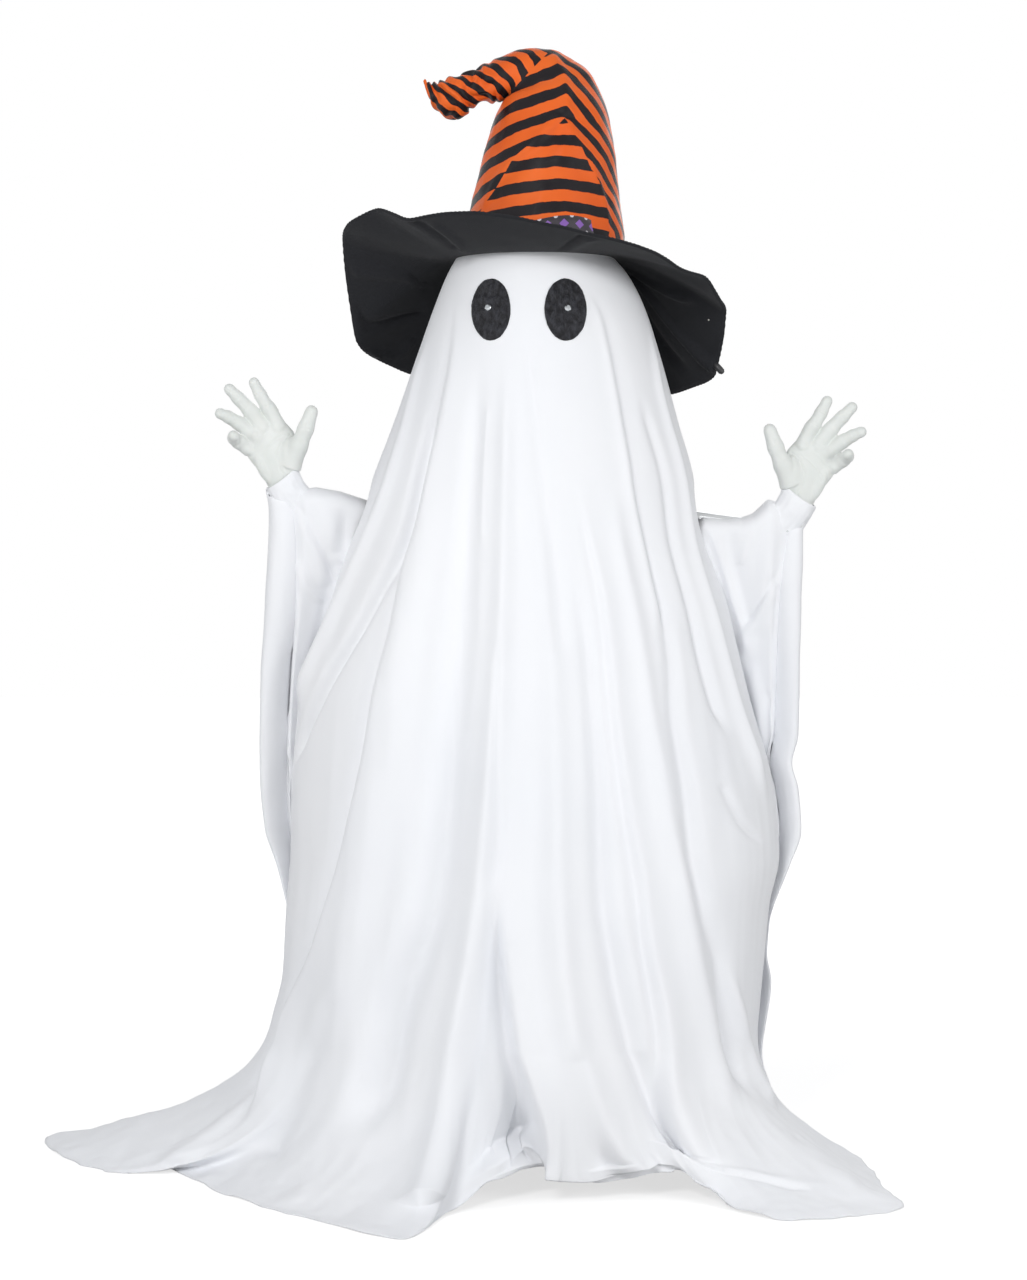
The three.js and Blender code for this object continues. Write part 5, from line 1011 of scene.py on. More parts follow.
def make_cone(materials):
    grid, fine = lofted_cone()
    normals = outward_normals(grid, grid - grid.mean(axis=1, keepdims=True))
    turn = np.arange(CONE_SIDES + 1) / CONE_SIDES
    in_front = grid[FOOT_ROW, :, 1] < FOOT_FRONT
    heights = fold_heights(grid, CONE_FOLDS, in_front)
    first, last = CRUMPLED_RINGS
    bent = np.clip((fine - first) / 2, 0, 1)[:, None] * np.clip((last - fine) / 2, 0, 1)[:, None]
    uneven = wrinkles(grid, 30, 1.0, 2.7)
    swing = 2.6 * np.sin(2 * math.pi * turn)[None, :]
    ripple = np.sin(fine[:, None] * 2 * math.pi * 0.8 + swing + 7 * uneven)
    heights += 0.0026 * bent * ripple
    heights += wrinkles(grid, 24, 1.6, 4.4) * 0.0032 * np.clip(fine[:, None] - 1, 0, 1)
    heights += wrinkles(grid, 70, 1.2, 9.1) * 0.0006
    heights *= np.clip(fine[:, None] / 1.5, 0, 1)
    stripes = [part.reshape(-1) for part in stripe_heights(grid, fine)]
    heights[:, -1] = heights[:, 0]
    grid = grid + normals * heights[..., None]
    grid[:, -1] = grid[:, 0]
    cone = add_object("hat_cone_cloth", grid.reshape(-1, 3), grid_faces(*grid.shape[:2]), materials["satin"])
    cuts = cone.data.uv_layers.new(name="flat_cut")
    places = cone.data.uv_layers.new(name="triangle_and_arm")
    for loop in cone.data.loops:
        chevron, other, in_triangle, on_arm = (part[loop.vertex_index] for part in stripes)
        cuts.data[loop.index].uv = (chevron, other)
        places.data[loop.index].uv = (in_triangle, on_arm)
    weld(cone)
    thicken(cone, CONE_WALL)
    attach(cone, "torso")
    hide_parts("hat_cone")


def weld(obj, to_front=False):
    """Joins points that coincide and, with `to_front`, turns the faces to the figure's front."""
    bm = bmesh.new()
    bm.from_mesh(obj.data)
    bmesh.ops.remove_doubles(bm, verts=bm.verts, dist=1e-6)
    if to_front:
        bmesh.ops.recalc_face_normals(bm, faces=bm.faces)
        if bm.faces[0].normal.y > 0:
            bmesh.ops.reverse_faces(bm, faces=bm.faces)
    bm.to_mesh(obj.data)
    bm.free()


BAND_LIFT = 0.015  # how much higher the ribbon stands at the front right, over the brim
BAND_LIFT_TURN = math.radians(20)
BAND_LIFT_SPREAD = math.radians(26)
BAND_UNDER_TURN = math.radians(66)  # where the cone's cloth hangs over the ribbon
BAND_UNDER_SPREAD = math.radians(26)
BAND_BATTER = 0.0035  # how much narrower the ribbon is at its top
BAND_THICKNESS = 0.0008
BAND_SIDES = 160
BAND_LEVELS = 7


def make_band(materials):
    """A ribbon round the foot of the cone, whose pattern repeats along its UV map."""
    low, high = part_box("hat_band")
    half_x, half_y = (high.x - low.x) / 2, (high.y - low.y) / 2
    centre_x = (high.x + low.x) / 2
    points = []
    for level in range(BAND_LEVELS):
        share = level / (BAND_LEVELS - 1)
        for k in range(BAND_SIDES + 1):
            turn = 2 * math.pi * (k / BAND_SIDES - 0.5)
            ripple = noise.noise(Vector((8 * turn, 3 * share, 2.0)))
            bulge = 0.0008 * math.sin(math.pi * share) + 0.0006 * ripple
            lifted = math.exp(-(((turn - BAND_LIFT_TURN) / BAND_LIFT_SPREAD) ** 2))
            under = math.exp(-(((turn - BAND_UNDER_TURN) / BAND_UNDER_SPREAD) ** 4))
            bulge += 0.007 * lifted - 0.009 * under
            x = centre_x + (half_x - BAND_BATTER * share + bulge) * math.sin(turn)
            y = -(half_y - BAND_BATTER * share + bulge) * math.cos(turn)
            top = high.z + BAND_LIFT * lifted
            points.append((x, y, low.z + (top - low.z) * share))
    band = add_object("hat_ribbon", points, grid_faces(BAND_LEVELS, BAND_SIDES + 1), materials["band"])
    uv = band.data.uv_layers.new(name="flat_cut")
    for loop in band.data.loops:
        level, k = divmod(loop.vertex_index, BAND_SIDES + 1)
        uv.data[loop.index].uv = (k / BAND_SIDES, level / (BAND_LEVELS - 1))
    weld(band)
    thicken(band, BAND_THICKNESS)
    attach(band, "torso")
    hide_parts("hat_band")


def make_brim(materials):
    seat_height, seat_radius = DRAPE[0][:2]
    angles = np.linspace(-180, 180, BRIM_COLUMNS)
    turn = np.radians(angles)
    rim, rise = (column_of(BRIM_RIM, k, angles) for k in (1, 2))
    ruffle = np.array([ring_noise(a, 3.1, 0.7) for a in turn])
    away = np.linspace(0, 1, BRIM_ROWS)
    rows = []
    for share in away:
        radius = seat_radius + (rim - seat_radius) * share
        past = np.clip((radius - seat_radius - BRIM_FLAT) / (rim - seat_radius - BRIM_FLAT), 0, 1)
        z = seat_height + rise * past**BRIM_DROP_POWER + BRIM_RUFFLE * ruffle * past**2
        rows.append(np.stack([radius * np.sin(turn), -radius * np.cos(turn), z], axis=1))
    grid = np.array(rows)
    grid[:, -1] = grid[:, 0]
    normals = outward_normals(grid, np.array([0, 0, -1]))
    heights = fold_heights(grid, BRIM_RADIAL_FOLDS, np.abs(angles) < 130)
    heights += wrinkles(grid, 9, 1.0, 5.5) * 0.0035 * away[:, None]
    heights += wrinkles(grid, 30, 1.0, 2.5) * 0.0009 * away[:, None]
    heights *= np.clip((away[:, None] - 0.1) * 5, 0, 1)
    heights[:, -1] = heights[:, 0]
    grid = grid + normals * heights[..., None]
    grid[:, -1] = grid[:, 0]
    faces = grid_faces(BRIM_ROWS, len(angles) - 1, around=True)
    brim = add_object("hat_brim_felt", grid[:, :-1].reshape(-1, 3), faces, materials["felt"])
    thicken(brim, BRIM_THICKNESS)
    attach(brim, "torso")
    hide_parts("hat_brim")
    add_rim_stitch(grid[-1, :-1], materials)
    return grid


RIM_SIDES = 6
RIM_RADIUS = 0.0019  # the bound wire's radius, how far the thread stands off it, and its turns
RIM_THREAD = 0.00045
RIM_TURNS = 0.45


def add_rim_stitch(rim, materials):
    """The rim's wire, bound on with a thread that wraps round it."""
    points = []
    for k in range(len(rim)):
        along = rim[(k + 1) % len(rim)] - rim[k - 1]
        along = along / np.linalg.norm(along)
        out = np.cross(along, (0.0, 0.0, 1.0))
        out /= np.linalg.norm(out)
        up = np.cross(out, along)
        radius = RIM_RADIUS + RIM_THREAD * math.sin(2 * math.pi * RIM_TURNS * k)
        for s in range(RIM_SIDES):
            turn = 2 * math.pi * s / RIM_SIDES
            points.append(rim[k] + radius * (math.cos(turn) * out + math.sin(turn) * up))
    faces = []
    for k in range(len(rim)):
        ring, after = k * RIM_SIDES, (k + 1) % len(rim) * RIM_SIDES
        for s in range(RIM_SIDES):
            beside = (s + 1) % RIM_SIDES
            faces.append((ring + s, ring + beside, after + beside, after + s))
    stitch = add_object("rim_binding", points, faces, materials["felt"])
    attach(stitch, "torso")


RIM_PEG = [(715, 364), (722, 372)]  # the wire's covered end, which sticks out past the rim
BRIM_PIN = (708.8, 319.5)  # a small white thread pin in the brim
PEG_RADIUS = 0.0055
PIN_RADIUS = 0.0012
ROD_SIDES = 16
BRIM_PIN_WAY = (0, -0.0035, -0.002)


def nearest_on(grid, pixel):
    """The point of a grid that the photograph shows nearest to a pixel."""
    pixels = to_photo(grid)
    away = np.hypot(pixels[..., 0] - pixel[0], pixels[..., 1] - pixel[1])
    return grid[np.unravel_index(np.argmin(away), away.shape)]


def make_rim_details(brim_grid, materials):
    start = nearest_on(brim_grid[-1], RIM_PEG[0])
    end = from_photo(RIM_PEG[1], start[1] - 0.004)
    peg = add_rod("rim_peg", from_photo(RIM_PEG[0], start[1]), end, PEG_RADIUS, materials["coat"])
    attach(peg, "torso")
    spot = nearest_on(brim_grid, BRIM_PIN)
    pin = add_rod("brim_pin", spot, spot + np.array(BRIM_PIN_WAY), PIN_RADIUS, materials["nylon"])
    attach(pin, "torso")


def add_rod(name, start, end, radius, material):
    """A round rod with rounded ends."""
    start, end = Vector(start), Vector(end)
    axis = (end - start).normalized()
    side = axis.orthogonal().normalized()
    up = axis.cross(side)
    levels = [
        (start, 0.0, -0.6), (start, 0.6, -0.4), (start, 1.0, 0.2),
        (end, 1.0, -0.2), (end, 0.6, 0.4), (end, 0.0, 0.6),
    ]
    points = []
    for centre, share, shift in levels:
        for k in range(ROD_SIDES):
            turn = 2 * math.pi * k / ROD_SIDES
            offset = side * math.cos(turn) + up * math.sin(turn)
            points.append(centre + axis * (shift * radius) + offset * (max(share, 0.02) * radius))
    return add_object(name, points, grid_faces(len(levels), ROD_SIDES, around=True), material)


# Sleeves. Each hangs over its arm as a flat sack with a rolled outer edge. Outer edge and top as
# photograph pixels, bottoms as heights, then folds of the front as on the sheet.
SLEEVES = {
    "right": {
        "outer": [
            (266, 489), (269, 508), (265, 611), (261, 678), (260, 762), (265, 829), (276, 863), (287, 906),
        ],
        "top": [(268, 490), (290, 492), (304, 490), (316, 488), (340, 492), (364, 500), (378, 506)],
        "hems": [(0.0, 0.445), (0.8, 0.43), (1.0, 0.4)],
        "roll_hem": 0.385,
        "rolls": [(0.39, 0.03), (0.62, 0.04), (0.86, 0.046), (1.0, 0.04), (1.06, 0.034)],
        "folds": [
            (CREASE, [(296, 504), (308, 530), (321, 554), (329, 575), (335, 590)],
             (-0.003, 0.008), (-0.008, 0.012)),
            (VALLEY, [(330, 560), (328, 590), (322, 620), (310, 680)], (0.003, 0.008), (0.006, 0.014)),
            (RIDGE, [(296, 560), (306, 585), (322, 604)], (0.003, 0.01), (0.004, 0.01)),
            (RIDGE, [(318, 492), (332, 530), (340, 566)], (0.003, 0.014), (0.004, 0.012)),
            (VALLEY, [(345, 498), (343, 530), (338, 560)], (0.002, 0.01), (0.005, 0.012)),
            (VALLEY, [(289, 640), (290, 680), (288, 720)], (0.004, 0.008), (0.006, 0.01)),
            (CREASE, [(287, 748), (296, 792), (310, 806)], (0.004, 0.01), (0.005, 0.012)),
            (VALLEY, [(304, 700), (309, 760), (306, 830)], (0.003, 0.012), (0.007, 0.014)),
        ],
    },
    "left": {
        "outer": [
            (802, 505), (802, 560), (801, 597), (798, 698), (797, 734), (791, 762), (797, 789), (800, 830),
            (790, 862), (778, 894), (769, 922), (767, 954), (771, 981), (762, 1054), (772, 1092),
        ],
        "top": [
            (690, 524), (703, 517), (726, 519), (742, 518), (753, 514), (768, 500), (784, 505), (802, 510),
        ],
        "hems": [(0.0, 0.5), (0.55, 0.485), (0.88, 0.47), (0.94, 0.32), (1.0, 0.12)],
        "roll_hem": 0.1,
        "rolls": [
            (0.1, 0.016), (0.33, 0.018), (0.45, 0.026), (0.62, 0.034), (0.8, 0.035), (0.9, 0.033),
            (1.02, 0.022),
        ],
        "folds": [
            (CREASE, [(708, 524), (718, 560), (730, 600), (741, 636), (744, 660)],
             (0.003, 0.01), (0.007, 0.014)),
            (CREASE, [(786, 560), (770, 590), (755, 615), (742, 637)], (0.002, 0.01), (0.004, 0.012)),
            (VALLEY, [(730, 524), (735, 570), (748, 630)], (0.003, 0.012), (0.006, 0.014)),
            (RIDGE, [(752, 516), (748, 540), (738, 566)], (0.002, 0.008), (0.003, 0.01)),
            (RIDGE, [(772, 520), (765, 580), (764, 640)], (0.002, 0.014), (0.004, 0.016)),
            (VALLEY, [(770, 690), (767, 730), (770, 780)], (0.003, 0.008), (0.004, 0.01)),
            (RIDGE, [(752, 660), (760, 720), (762, 800)], (0.003, 0.012), (0.006, 0.012)),
        ],
    },
}
# Down a sleeve: drop below the shoulder, how far the inner edge stands off the sheet's half width,
# that edge's depth, and the sleeve's half thickness.
SLEEVE_HANG = [
    (-0.06, -0.03, -0.012, 0.026),
    (0.02, -0.026, -0.01, 0.026),
    (0.09, -0.014, 0.006, 0.026),
    (0.15, -0.012, 0.022, 0.028),
    (0.23, -0.014, 0.04, 0.031),
    (0.33, -0.018, 0.05, 0.033),
    (0.47, -0.026, 0.052, 0.03),
    (0.6, -0.029, 0.052, 0.022),
    (1.0, -0.029, 0.052, 0.018),
]
SHOULDER_HEIGHT = 1.0303
OUTER_DEPTH = -0.016
PANEL_STEPS = 64
ROLL_STEPS = 34
SLEEVE_ROWS = 150
SEAM = 0.13  # share of the roll that the panel covers where they meet
ROOF = 0.024  # how far below its top a sleeve reaches its full thickness
CLOTH_THICKNESS = 0.0012
WRIST_HOLE = 0.022  # half width of the slot in a sleeve's top through which the arm comes
WRIST_HOLE_ROWS = 5


def sleeve_grid(plan, side):
    """A sleeve without folds, as a closed grid of points, with the way that each column faces and
    the share of the way down of each row."""
    outer = np.array([from_photo(p, OUTER_DEPTH) for p in plan["outer"]])[::-1]
    top = np.array([from_photo(p, OUTER_DEPTH) for p in plan["top"]])
    top = top[np.argsort(top[:, 0])]
    half_width = 2 if side > 0 else 1
    panel = np.linspace(0, 1, PANEL_STEPS)
    bend = (1 - np.cos(np.linspace(0, math.pi, ROLL_STEPS)[1:])) / 2
    across = np.concatenate([panel, bend])
    rolled = np.arange(len(across)) >= PANEL_STEPS
    hem = np.where(rolled, plan["roll_hem"], np.interp(across, *zip(*plan["hems"])))
    across, rolled, hem = (np.concatenate([a, a[::-1][1:-1]]) for a in (across, rolled, hem))
    face = np.where(np.arange(len(across)) < PANEL_STEPS + ROLL_STEPS - 1, -1.0, 1.0)
    rows = []
    drop = np.linspace(0, 1, SLEEVE_ROWS) ** 1.25
    for t in drop:
        z = np.full(len(across), 1.0)
        for _ in range(5):
            gap = column_of(SLEEVE_HANG, 1, SHOULDER_HEIGHT - z)
            inner_x = side * (column_of(DRAPE, half_width, z) + gap)
            outer_x = smooth_curve(outer[:, 2], outer[:, 0], z)
            width = column_of(plan["rolls"], 1, z)
            seam_x = outer_x - side * width
            x = np.where(rolled, seam_x + (outer_x - seam_x) * across, inner_x + (seam_x - inner_x) * across)
            high = np.interp(x, top[:, 0], top[:, 2])
            z = high + (hem - high) * t
        depth = column_of(SLEEVE_HANG, 2, SHOULDER_HEIGHT - z)
        thick = column_of(SLEEVE_HANG, 3, SHOULDER_HEIGHT - z)
        below = np.clip((high - z) / ROOF, 0, 1)
        roof = np.sqrt(1 - (1 - below) ** 2)
        middle = depth + (OUTER_DEPTH - depth) * (x - inner_x) / (outer_x - inner_x)
        from_seam = SEAM + (1 - SEAM) * across
        round_roll = 0.55 * width * np.sqrt(np.clip(1 - (2 * from_seam - 1) ** 2, 0, 1))
        pinch = 0.42 + 0.58 * np.clip((1 - across) / 0.16, 0, 1)
        edge = np.sqrt(np.clip(1 - (1 - np.clip(across / 0.12, 0, 1)) ** 2, 0, 1))
        half = np.where(rolled, round_roll, thick * edge * pinch)
        rows.append(np.stack([x, middle + face * np.maximum(half, 0.002) * roof, z], axis=1))
    grid = np.array(rows)
    return np.concatenate([grid, grid[:, :1]], axis=1), np.append(face, face[0]), drop


def make_sleeve(name, side, materials):
    plan = SLEEVES[name]
    grid, face, drop = sleeve_grid(plan, side)
    normals = outward_normals(grid, face[None, :, None] * np.array([0, 1, 0]))
    facing = np.arange(grid.shape[1]) < PANEL_STEPS
    heights = fold_heights(grid, plan["folds"], facing, crease_side=side)
    heights += wrinkles(grid, 17, 6.0, 21.3 * side) * 0.0035
    heights += wrinkles(grid, 55, 3.0, 8.8 * side) * 0.0007
    heights *= np.clip(drop * 14, 0.15, 1)[:, None]
    heights[:, -1] = heights[:, 0]
    grid = grid + normals * heights[..., None]
    row_count, column_count = grid.shape[0], grid.shape[1] - 1
    points = grid[:, :-1].reshape(-1, 3)
    faces = []
    for a, b, c, d in grid_faces(row_count, column_count, around=True):
        off_wrist = points[[a, b, c, d]].mean(axis=0)[0] - WRISTS[name][0]
        if a // column_count < WRIST_HOLE_ROWS and abs(off_wrist) < WRIST_HOLE:
            continue
        faces.append((a, b, c, d) if side < 0 else (d, c, b, a))
    sleeve = add_object(f"{name}_sleeve_cloth", points, faces, materials["cloth"])
    weld(sleeve)
    thicken(sleeve, CLOTH_THICKNESS)
    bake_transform(sleeve)
    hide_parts(f"{name}_sleeve")


# Hands: the wrist's place, and in the hand's own frame (across to the little finger, depth, which
# the palm faces at its negative end, and height over the wrist) the palm's rings, its pads and
# the fingers from root to tip, all in millimetres. The right hand mirrors the left.
WRISTS = {"left": (0.418, -0.02, 1.044), "right": (-0.4, -0.02, 1.073)}
HAND_TILT = math.radians(19)
PALM_RINGS = [
    # height, middle, half width, half depth
    (-30, 0, 22, 17), (-12, 0, 24, 17.5), (0, -1, 26, 17.5), (14, -3, 30, 17.5), (28, -4, 35, 17.5),
    (50, -2, 41, 16.5), (70, 0, 42, 14), (84, 3, 39, 12), (94, 5, 33, 10),
]
PADS = [
    # across, depth, height, then half sizes across, deep and high, and lean to the thumb in degrees
    (-23, -9, 33, 16, 12, 31, 22),
    (19, -7, 30, 13, 9, 32, -8),
    (-20, -6, 82, 11, 8, 11, 0),
    (0, -6, 86, 11, 8, 11, 0),
    (18, -6, 82, 10.5, 8, 11, 0),
    (32, -6, 66, 10, 8, 11, 0),
]
FINGERS = {
    "index": [
        (-22, 0, 80, 12), (-19, -2, 108, 11.2), (-14, -5, 128, 10.2), (-11, -7, 146, 9.4), (-9, -8, 161, 8),
    ],
    "middle": [
        (0, 0, 84, 12), (9, -2, 114, 11.6), (17, -5, 134, 10.8), (25, -9, 151, 9.6), (31, -11, 164, 8.2),
    ],
    "ring": [
        (20, 0, 80, 11.5), (32, -4, 104, 11), (42, -9, 117, 10.2), (50, -14, 126, 9.2), (57, -18, 132, 8),
    ],
    "little": [
        (33, 0, 64, 11), (43, -8, 78, 10.8), (48, -18, 86, 10.2), (49, -27, 89, 9.4), (47, -36, 91, 8.2),
    ],
    "thumb": [
        (-18, -4, 18, 17), (-38, -10, 40, 15.5), (-54, -14, 56, 12.6), (-66, -16, 70, 12.2),
        (-80, -16, 88, 9.4),
    ],
}
PALM_CREASES = [
    # lines across the palm as (across, height), with their depth
    ([(-36, 66), (-22, 60), (-8, 44), (-3, 20), (-6, 4)], 1.5),
    ([(-34, 70), (-14, 66), (8, 56), (24, 40)], 0.9),
    ([(38, 58), (22, 66), (4, 76), (-8, 88)], 0.9),
    ([(-70, 78), (-60, 66)], 0.6),
]
HAND_VOXEL = 0.0014
PALM_SIDES = 40
PAD_SIDES = 24
FINGER_SIDES = 22
FINGER_DEPTH = 0.93  # a finger's depth as a share of its width
FINGER_FULLNESS = 1.08
# Half widths of a palm's crease and a joint's, a joint's depth and reach, in millimetres, and the
# joints' places as shares of the finger's length
PALM_CREASE_WIDTH = 1.9
JOINT_CREASE_WIDTH = 1.1
JOINT_CREASE_DEPTH = 0.55
JOINT_REACH = 14
JOINTS = (0.42, 0.7)


def ring_points(centre, axis, radius):
    """A ring round a finger."""
    axis = axis / np.linalg.norm(axis)
    side = np.cross(axis, (0.0, 1.0, 0.0))
    side /= np.linalg.norm(side)
    deep = np.cross(side, axis)
    turn = np.linspace(0, 2 * math.pi, FINGER_SIDES, endpoint=False)[:, None]
    return centre + radius * (np.cos(turn) * side + FINGER_DEPTH * np.sin(turn) * deep)


def limb_rings(points):
    """Rings of a finger, a little fuller at its joints and round at its tip."""
    keys = np.arange(len(points))
    fine = np.linspace(0, len(points) - 1, 26)
    along = smooth_columns(keys, points, fine)
    path = along[:, :3]
    radii = along[:, 3] * FINGER_FULLNESS
    radii *= 1 + 0.045 * np.cos(fine * 2 * math.pi / 1.35)
    heading = np.gradient(path, axis=0)
    rings = [ring_points(p, h, r) for p, h, r in zip(path, heading, radii)]
    tip, ahead = path[-1], heading[-1] / np.linalg.norm(heading[-1])
    for turn in np.radians([25, 50, 70, 85]):
        centre = tip + ahead * radii[-1] * math.sin(turn)
        rings.append(ring_points(centre, ahead, radii[-1] * math.cos(turn)))
    return np.array(rings)


def closed_loft(rings):
    """Points and faces of a loft closed at both ends, to be joined with others."""
    count, sides = len(rings), len(rings[0])
    faces = grid_faces(count, sides, around=True)
    faces.append(tuple(range(sides)))
    faces.append(tuple(range(count * sides - 1, (count - 1) * sides - 1, -1)))
    return np.concatenate(rings), faces


def ball(across, depth, height, a, b, c, lean):
    """An egg-shaped pad, as a closed loft."""
    turn = np.linspace(0, 2 * math.pi, PAD_SIDES, endpoint=False)
    tilt = math.radians(lean)
    rings = []
    for down in np.linspace(0.06, math.pi - 0.06, 12):
        x = a * math.sin(down) * np.cos(turn)
        y = b * math.sin(down) * np.sin(turn)
        z = np.full(PAD_SIDES, c * math.cos(down))
        tilted_x = across + x * math.cos(tilt) - z * math.sin(tilt)
        tilted_z = height + x * math.sin(tilt) + z * math.cos(tilt)
        rings.append(np.stack([tilted_x, depth + y, tilted_z], axis=1))
    return closed_loft(rings)


def palm_rings():
    turn = np.linspace(0, 2 * math.pi, PALM_SIDES, endpoint=False)
    rings = []
    for height, middle, half_width, half_depth in PALM_RINGS:
        x = middle + half_width * np.cos(turn)
        y = half_depth * np.sin(turn) * (1 - 0.12 * np.cos(turn) ** 2)
        rings.append(np.stack([x, y, np.full(PALM_SIDES, float(height))], axis=1))
    return rings


def hand_axes(side):
    """A hand's own directions: across to its little finger, and up along it."""
    across = np.array([side * math.cos(HAND_TILT), 0, -math.sin(HAND_TILT)])
    upward = np.array([side * math.sin(HAND_TILT), 0, math.cos(HAND_TILT)])
    return across, upward


def make_hand(name, side, materials):
    lofts = [closed_loft(palm_rings())]
    lofts += [closed_loft(limb_rings(points)) for points in FINGERS.values()]
    lofts += [ball(*pad) for pad in PADS]
    points, faces = [], []
    for loft_points, loft_faces in lofts:
        start = sum(len(p) for p in points)
        points.append(loft_points)
        faces += [tuple(start + index for index in face) for face in loft_faces]
    points = np.concatenate(points) / 1000
    hand = add_object(f"{name}_hand_skin", points, faces, materials["vinyl"])
    remesh = hand.modifiers.new("join", "REMESH")
    remesh.mode = "VOXEL"
    remesh.voxel_size = HAND_VOXEL
    soften = hand.modifiers.new("soften", "SMOOTH")
    soften.factor = 0.5
    soften.iterations = 9
    apply_modifiers(hand)
    carve_palm(hand)
    across, upward = (Vector(axis) for axis in hand_axes(side))
    wrist = Vector(WRISTS[name])
    for vertex in hand.data.vertices:
        x, y, z = vertex.co
        vertex.co = wrist + across * x + Vector((0, y, 0)) + upward * z
    if side < 0:
        hand.data.flip_normals()
    hand.data.polygons.foreach_set("use_smooth", [True] * len(hand.data.polygons))
    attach(hand, f"{name}_palm")
    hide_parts(f"{name}_hand")


def carve_palm(hand):
    """Presses the creases of the palm and of the fingers' joints into the hand's front."""
    lines = [(np.array(line, float), deep) for line, deep in PALM_CREASES]
    co = np.array([v.co for v in hand.data.vertices]) * 1000
    normal = np.array([v.normal for v in hand.data.vertices])
    push = np.zeros(len(co))
    front = np.clip(-normal[:, 1], 0, 1)
    for line, deep in lines:
        for a, b in zip(line[:-1], line[1:]):
            along = b - a
            t = np.clip(((co[:, [0, 2]] - a) @ along) / (along @ along), 0, 1)
            away = np.linalg.norm(co[:, [0, 2]] - a - t[:, None] * along, axis=1)
            push = np.minimum(push, -deep * np.exp(-((away / PALM_CREASE_WIDTH) ** 2)) * front)
    for points in FINGERS.values():
        table = np.array(points, float)
        for share in JOINTS:
            place = share * (len(table) - 1)
            low = int(place)
            spot = table[low, :3] + (table[low + 1, :3] - table[low, :3]) * (place - low)
            heading = table[low + 1, :3] - table[low, :3]
            heading /= np.linalg.norm(heading)
            near = np.linalg.norm(co - spot, axis=1) < JOINT_REACH
            off = (co - spot) @ heading
            crease = -JOINT_CREASE_DEPTH * np.exp(-((off / JOINT_CREASE_WIDTH) ** 2)) * front
            push = np.where(near, np.minimum(push, crease), push)
    co += normal * push[:, None]
    for vertex, place in zip(hand.data.vertices, co / 1000):
        vertex.co = place


CUFF_RINGS = [
    # along the hand's axis from the wrist, half width, half depth, shift to the body and backwards
    (0.006, 0.028, 0.0205, 0.0, 0.0),
    (0.004, 0.0293, 0.0215, 0.0, 0.0),
    (-0.006, 0.029, 0.0215, 0.001, 0.0),
    (-0.018, 0.0295, 0.0212, 0.003, 0.001),
    (-0.03, 0.0305, 0.02, 0.007, 0.003),
    (-0.044, 0.0325, 0.018, 0.012, 0.005),
    (-0.058, 0.0345, 0.0155, 0.018, 0.006),
]

CUFF_SIDES = 96


def make_cuff(name, side, materials):
    """The gathered end of a sleeve round the wrist."""
    across, upward = hand_axes(side)
    wrist = np.array(WRISTS[name])
    fine = np.linspace(0, 1, 34)
    keys = np.linspace(0, 1, len(CUFF_RINGS))
    along, width, depth, shift, back = smooth_columns(keys, CUFF_RINGS, fine).T
    turn = np.linspace(0, 2 * math.pi, CUFF_SIDES + 1)
    rows = []
    for k, t in enumerate(fine):
        gather = 1 + 0.035 * np.sin(7 * turn + 3 * t) * t + 0.02 * np.sin(19 * turn + 1.3) * t
        sag = (-0.004 * np.sin(turn) - 0.009 * np.cos(turn)) * (1 - t)
        x = (width[k] * gather * np.cos(turn) - shift[k])[:, None] * across
        y = (depth[k] * gather * np.sin(turn) - back[k])[:, None] * np.array([0, -1, 0])
        z = (along[k] + sag)[:, None] * upward
        rows.append(wrist + x + y + z)
    grid = np.array(rows)
    normals = outward_normals(grid, grid - grid.mean(axis=1, keepdims=True))
    heights = wrinkles(grid, 45, 1.5, 3.3 * side) * 0.003 + wrinkles(grid, 110, 1.0, 6.6) * 0.001
    heights *= 0.35 + 0.65 * fine[:, None]
    heights[:, -1] = heights[:, 0]
    grid = grid + normals * heights[..., None]
    faces = grid_faces(len(fine), CUFF_SIDES, around=True)
    cuff = add_object(f"{name}_cuff", grid[:, :-1].reshape(-1, 3), faces, materials["cloth"])
    thicken(cuff, CLOTH_THICKNESS)
    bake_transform(cuff)


# Room: the world's strength, the floor's half size and its distance under the foot
AMBIENT_STRENGTH = 0.3
FLOOR_HALF = 12.0
FLOOR_DROP = 0.0005
LAMP_AIM = (0, 0, 0.9)
LAMPS = [
    # name, place, size, watts: a large soft box over the camera, two at the sides, one behind
    ("key", (-1.0, -3.7, 2.5), 0.9, 62),
    ("fill", (2.7, -2.7, 1.4), 2.0, 56),
    ("left_side", (-2.9, -2.0, 1.4), 1.8, 28),
    ("rear", (0.6, 3.0, 2.6), 2.2, 34),
]


def make_room():
    world = bpy.data.worlds.new("world")
    bpy.context.scene.world = world
    world.use_nodes = True
    world.node_tree.nodes.clear()
    tree = Nodes(world.node_tree)
    ambient = tree.add("ShaderNodeBackground", Color=(0.97, 0.98, 1.0, 1), Strength=AMBIENT_STRENGTH)
    white = tree.add("ShaderNodeBackground", Color=(1, 1, 1, 1), Strength=1.0)
    choice = tree.add("ShaderNodeMixShader", Fac=tree.seen())
    tree.feed(choice.inputs[1], ambient.outputs[0])
    tree.feed(choice.inputs[2], white.outputs[0])
    tree.add("ShaderNodeOutputWorld", Surface=choice.outputs[0])
    reach = FLOOR_HALF
    corners = [(-reach, -reach, 0), (reach, -reach, 0), (reach, reach, 0), (-reach, reach, 0)]
    floor = add_object("floor", corners, [(0, 1, 2, 3)], floor_material(), smooth=False)
    floor.location.z = -FLOOR_DROP


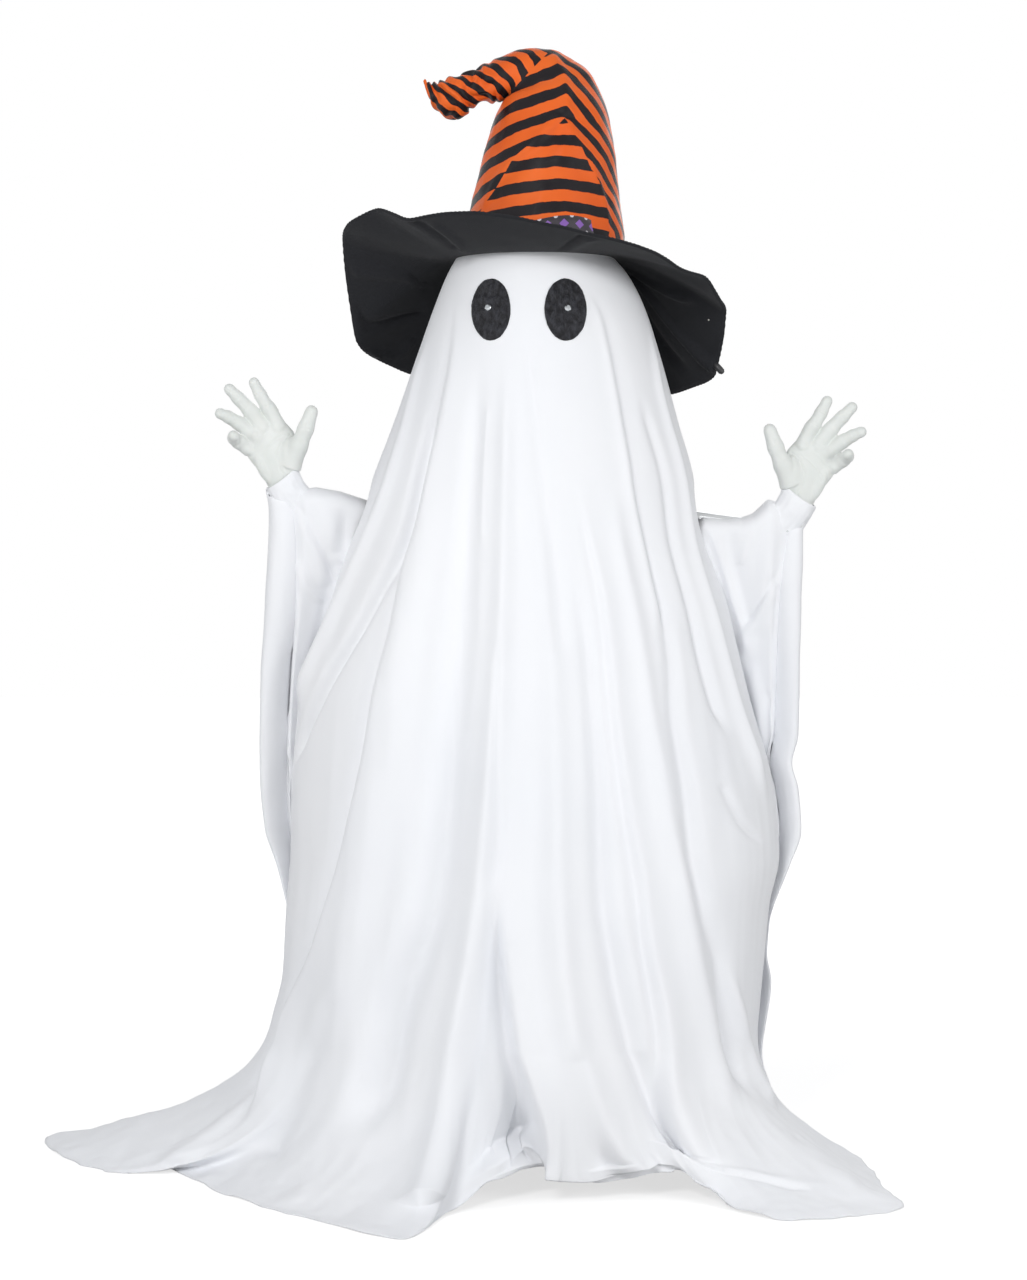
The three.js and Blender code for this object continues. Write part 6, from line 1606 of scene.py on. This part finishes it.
def floor_material():
    """White to the camera where it is lit, with the figure's shadow left on it."""
    shader = Shader("studio_floor", (0.55, 0.55, 0.55), 0.9, Specular_IOR_Level=0.0)
    away = shader.add("ShaderNodeVectorMath", {"operation": "LENGTH"}, Vector=shader.place())
    far = shader.ramp(shader.math("DIVIDE", away.outputs["Value"], 4.0), [(0.25, 0.68), (0.6, 1.0)])
    shader.surface.inputs["Emission Color"].default_value = (1, 1, 1, 1)
    shader.feed(shader.surface.inputs["Emission Strength"], shader.math("MULTIPLY", shader.seen(), far))
    return shader.material


def make_lamps():
    for name, place, size, watts in LAMPS:
        data = bpy.data.lights.new(name, "AREA")
        data.shape = "SQUARE"
        data.size = size
        data.energy = watts
        lamp = bpy.data.objects.new(name, data)
        lamp.location = place
        aim = Vector(LAMP_AIM) - lamp.location
        lamp.rotation_euler = aim.to_track_quat("-Z", "Y").to_euler()
        bpy.context.scene.collection.objects.link(lamp)


NODE_FINISHES = {
    # the record's slot and this script's material
    "black_metal": "coat", "zinc": "zinc", "steel": "steel", "rubber": "rubber",
    "black_plastic": "black_plastic", "nylon": "nylon", "board": "board", "shell_plastic": "shell",
}


def dress_nodes(materials):
    """Gives each CAD node that stays in view the worked material of its slot."""
    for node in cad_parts.values():
        for place in node.material_slots:
            slot_name = place.material.name.split(".")[0]
            if slot_name in NODE_FINISHES:
                place.material = materials[NODE_FINISHES[slot_name]]
    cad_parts["demo_button"].material_slots[0].material = materials["red_rubber"]


def main():
    bpy.context.scene.view_settings.view_transform = "Standard"
    make_camera()
    make_room()
    make_lamps()
    materials = make_materials()
    draw = random.Random(PATCH_SEED)
    surface = make_sheet(materials)
    for name, eye in EYES.items():
        make_patch(name, eye, surface, materials, draw)
        make_crystal(name, eye, surface, materials)
    make_rim_details(make_brim(materials), materials)
    make_cone(materials)
    make_band(materials)
    for name, side in (("left", 1), ("right", -1)):
        make_sleeve(name, side, materials)
        make_cuff(name, side, materials)
        make_hand(name, side, materials)
    dress_nodes(materials)


main()
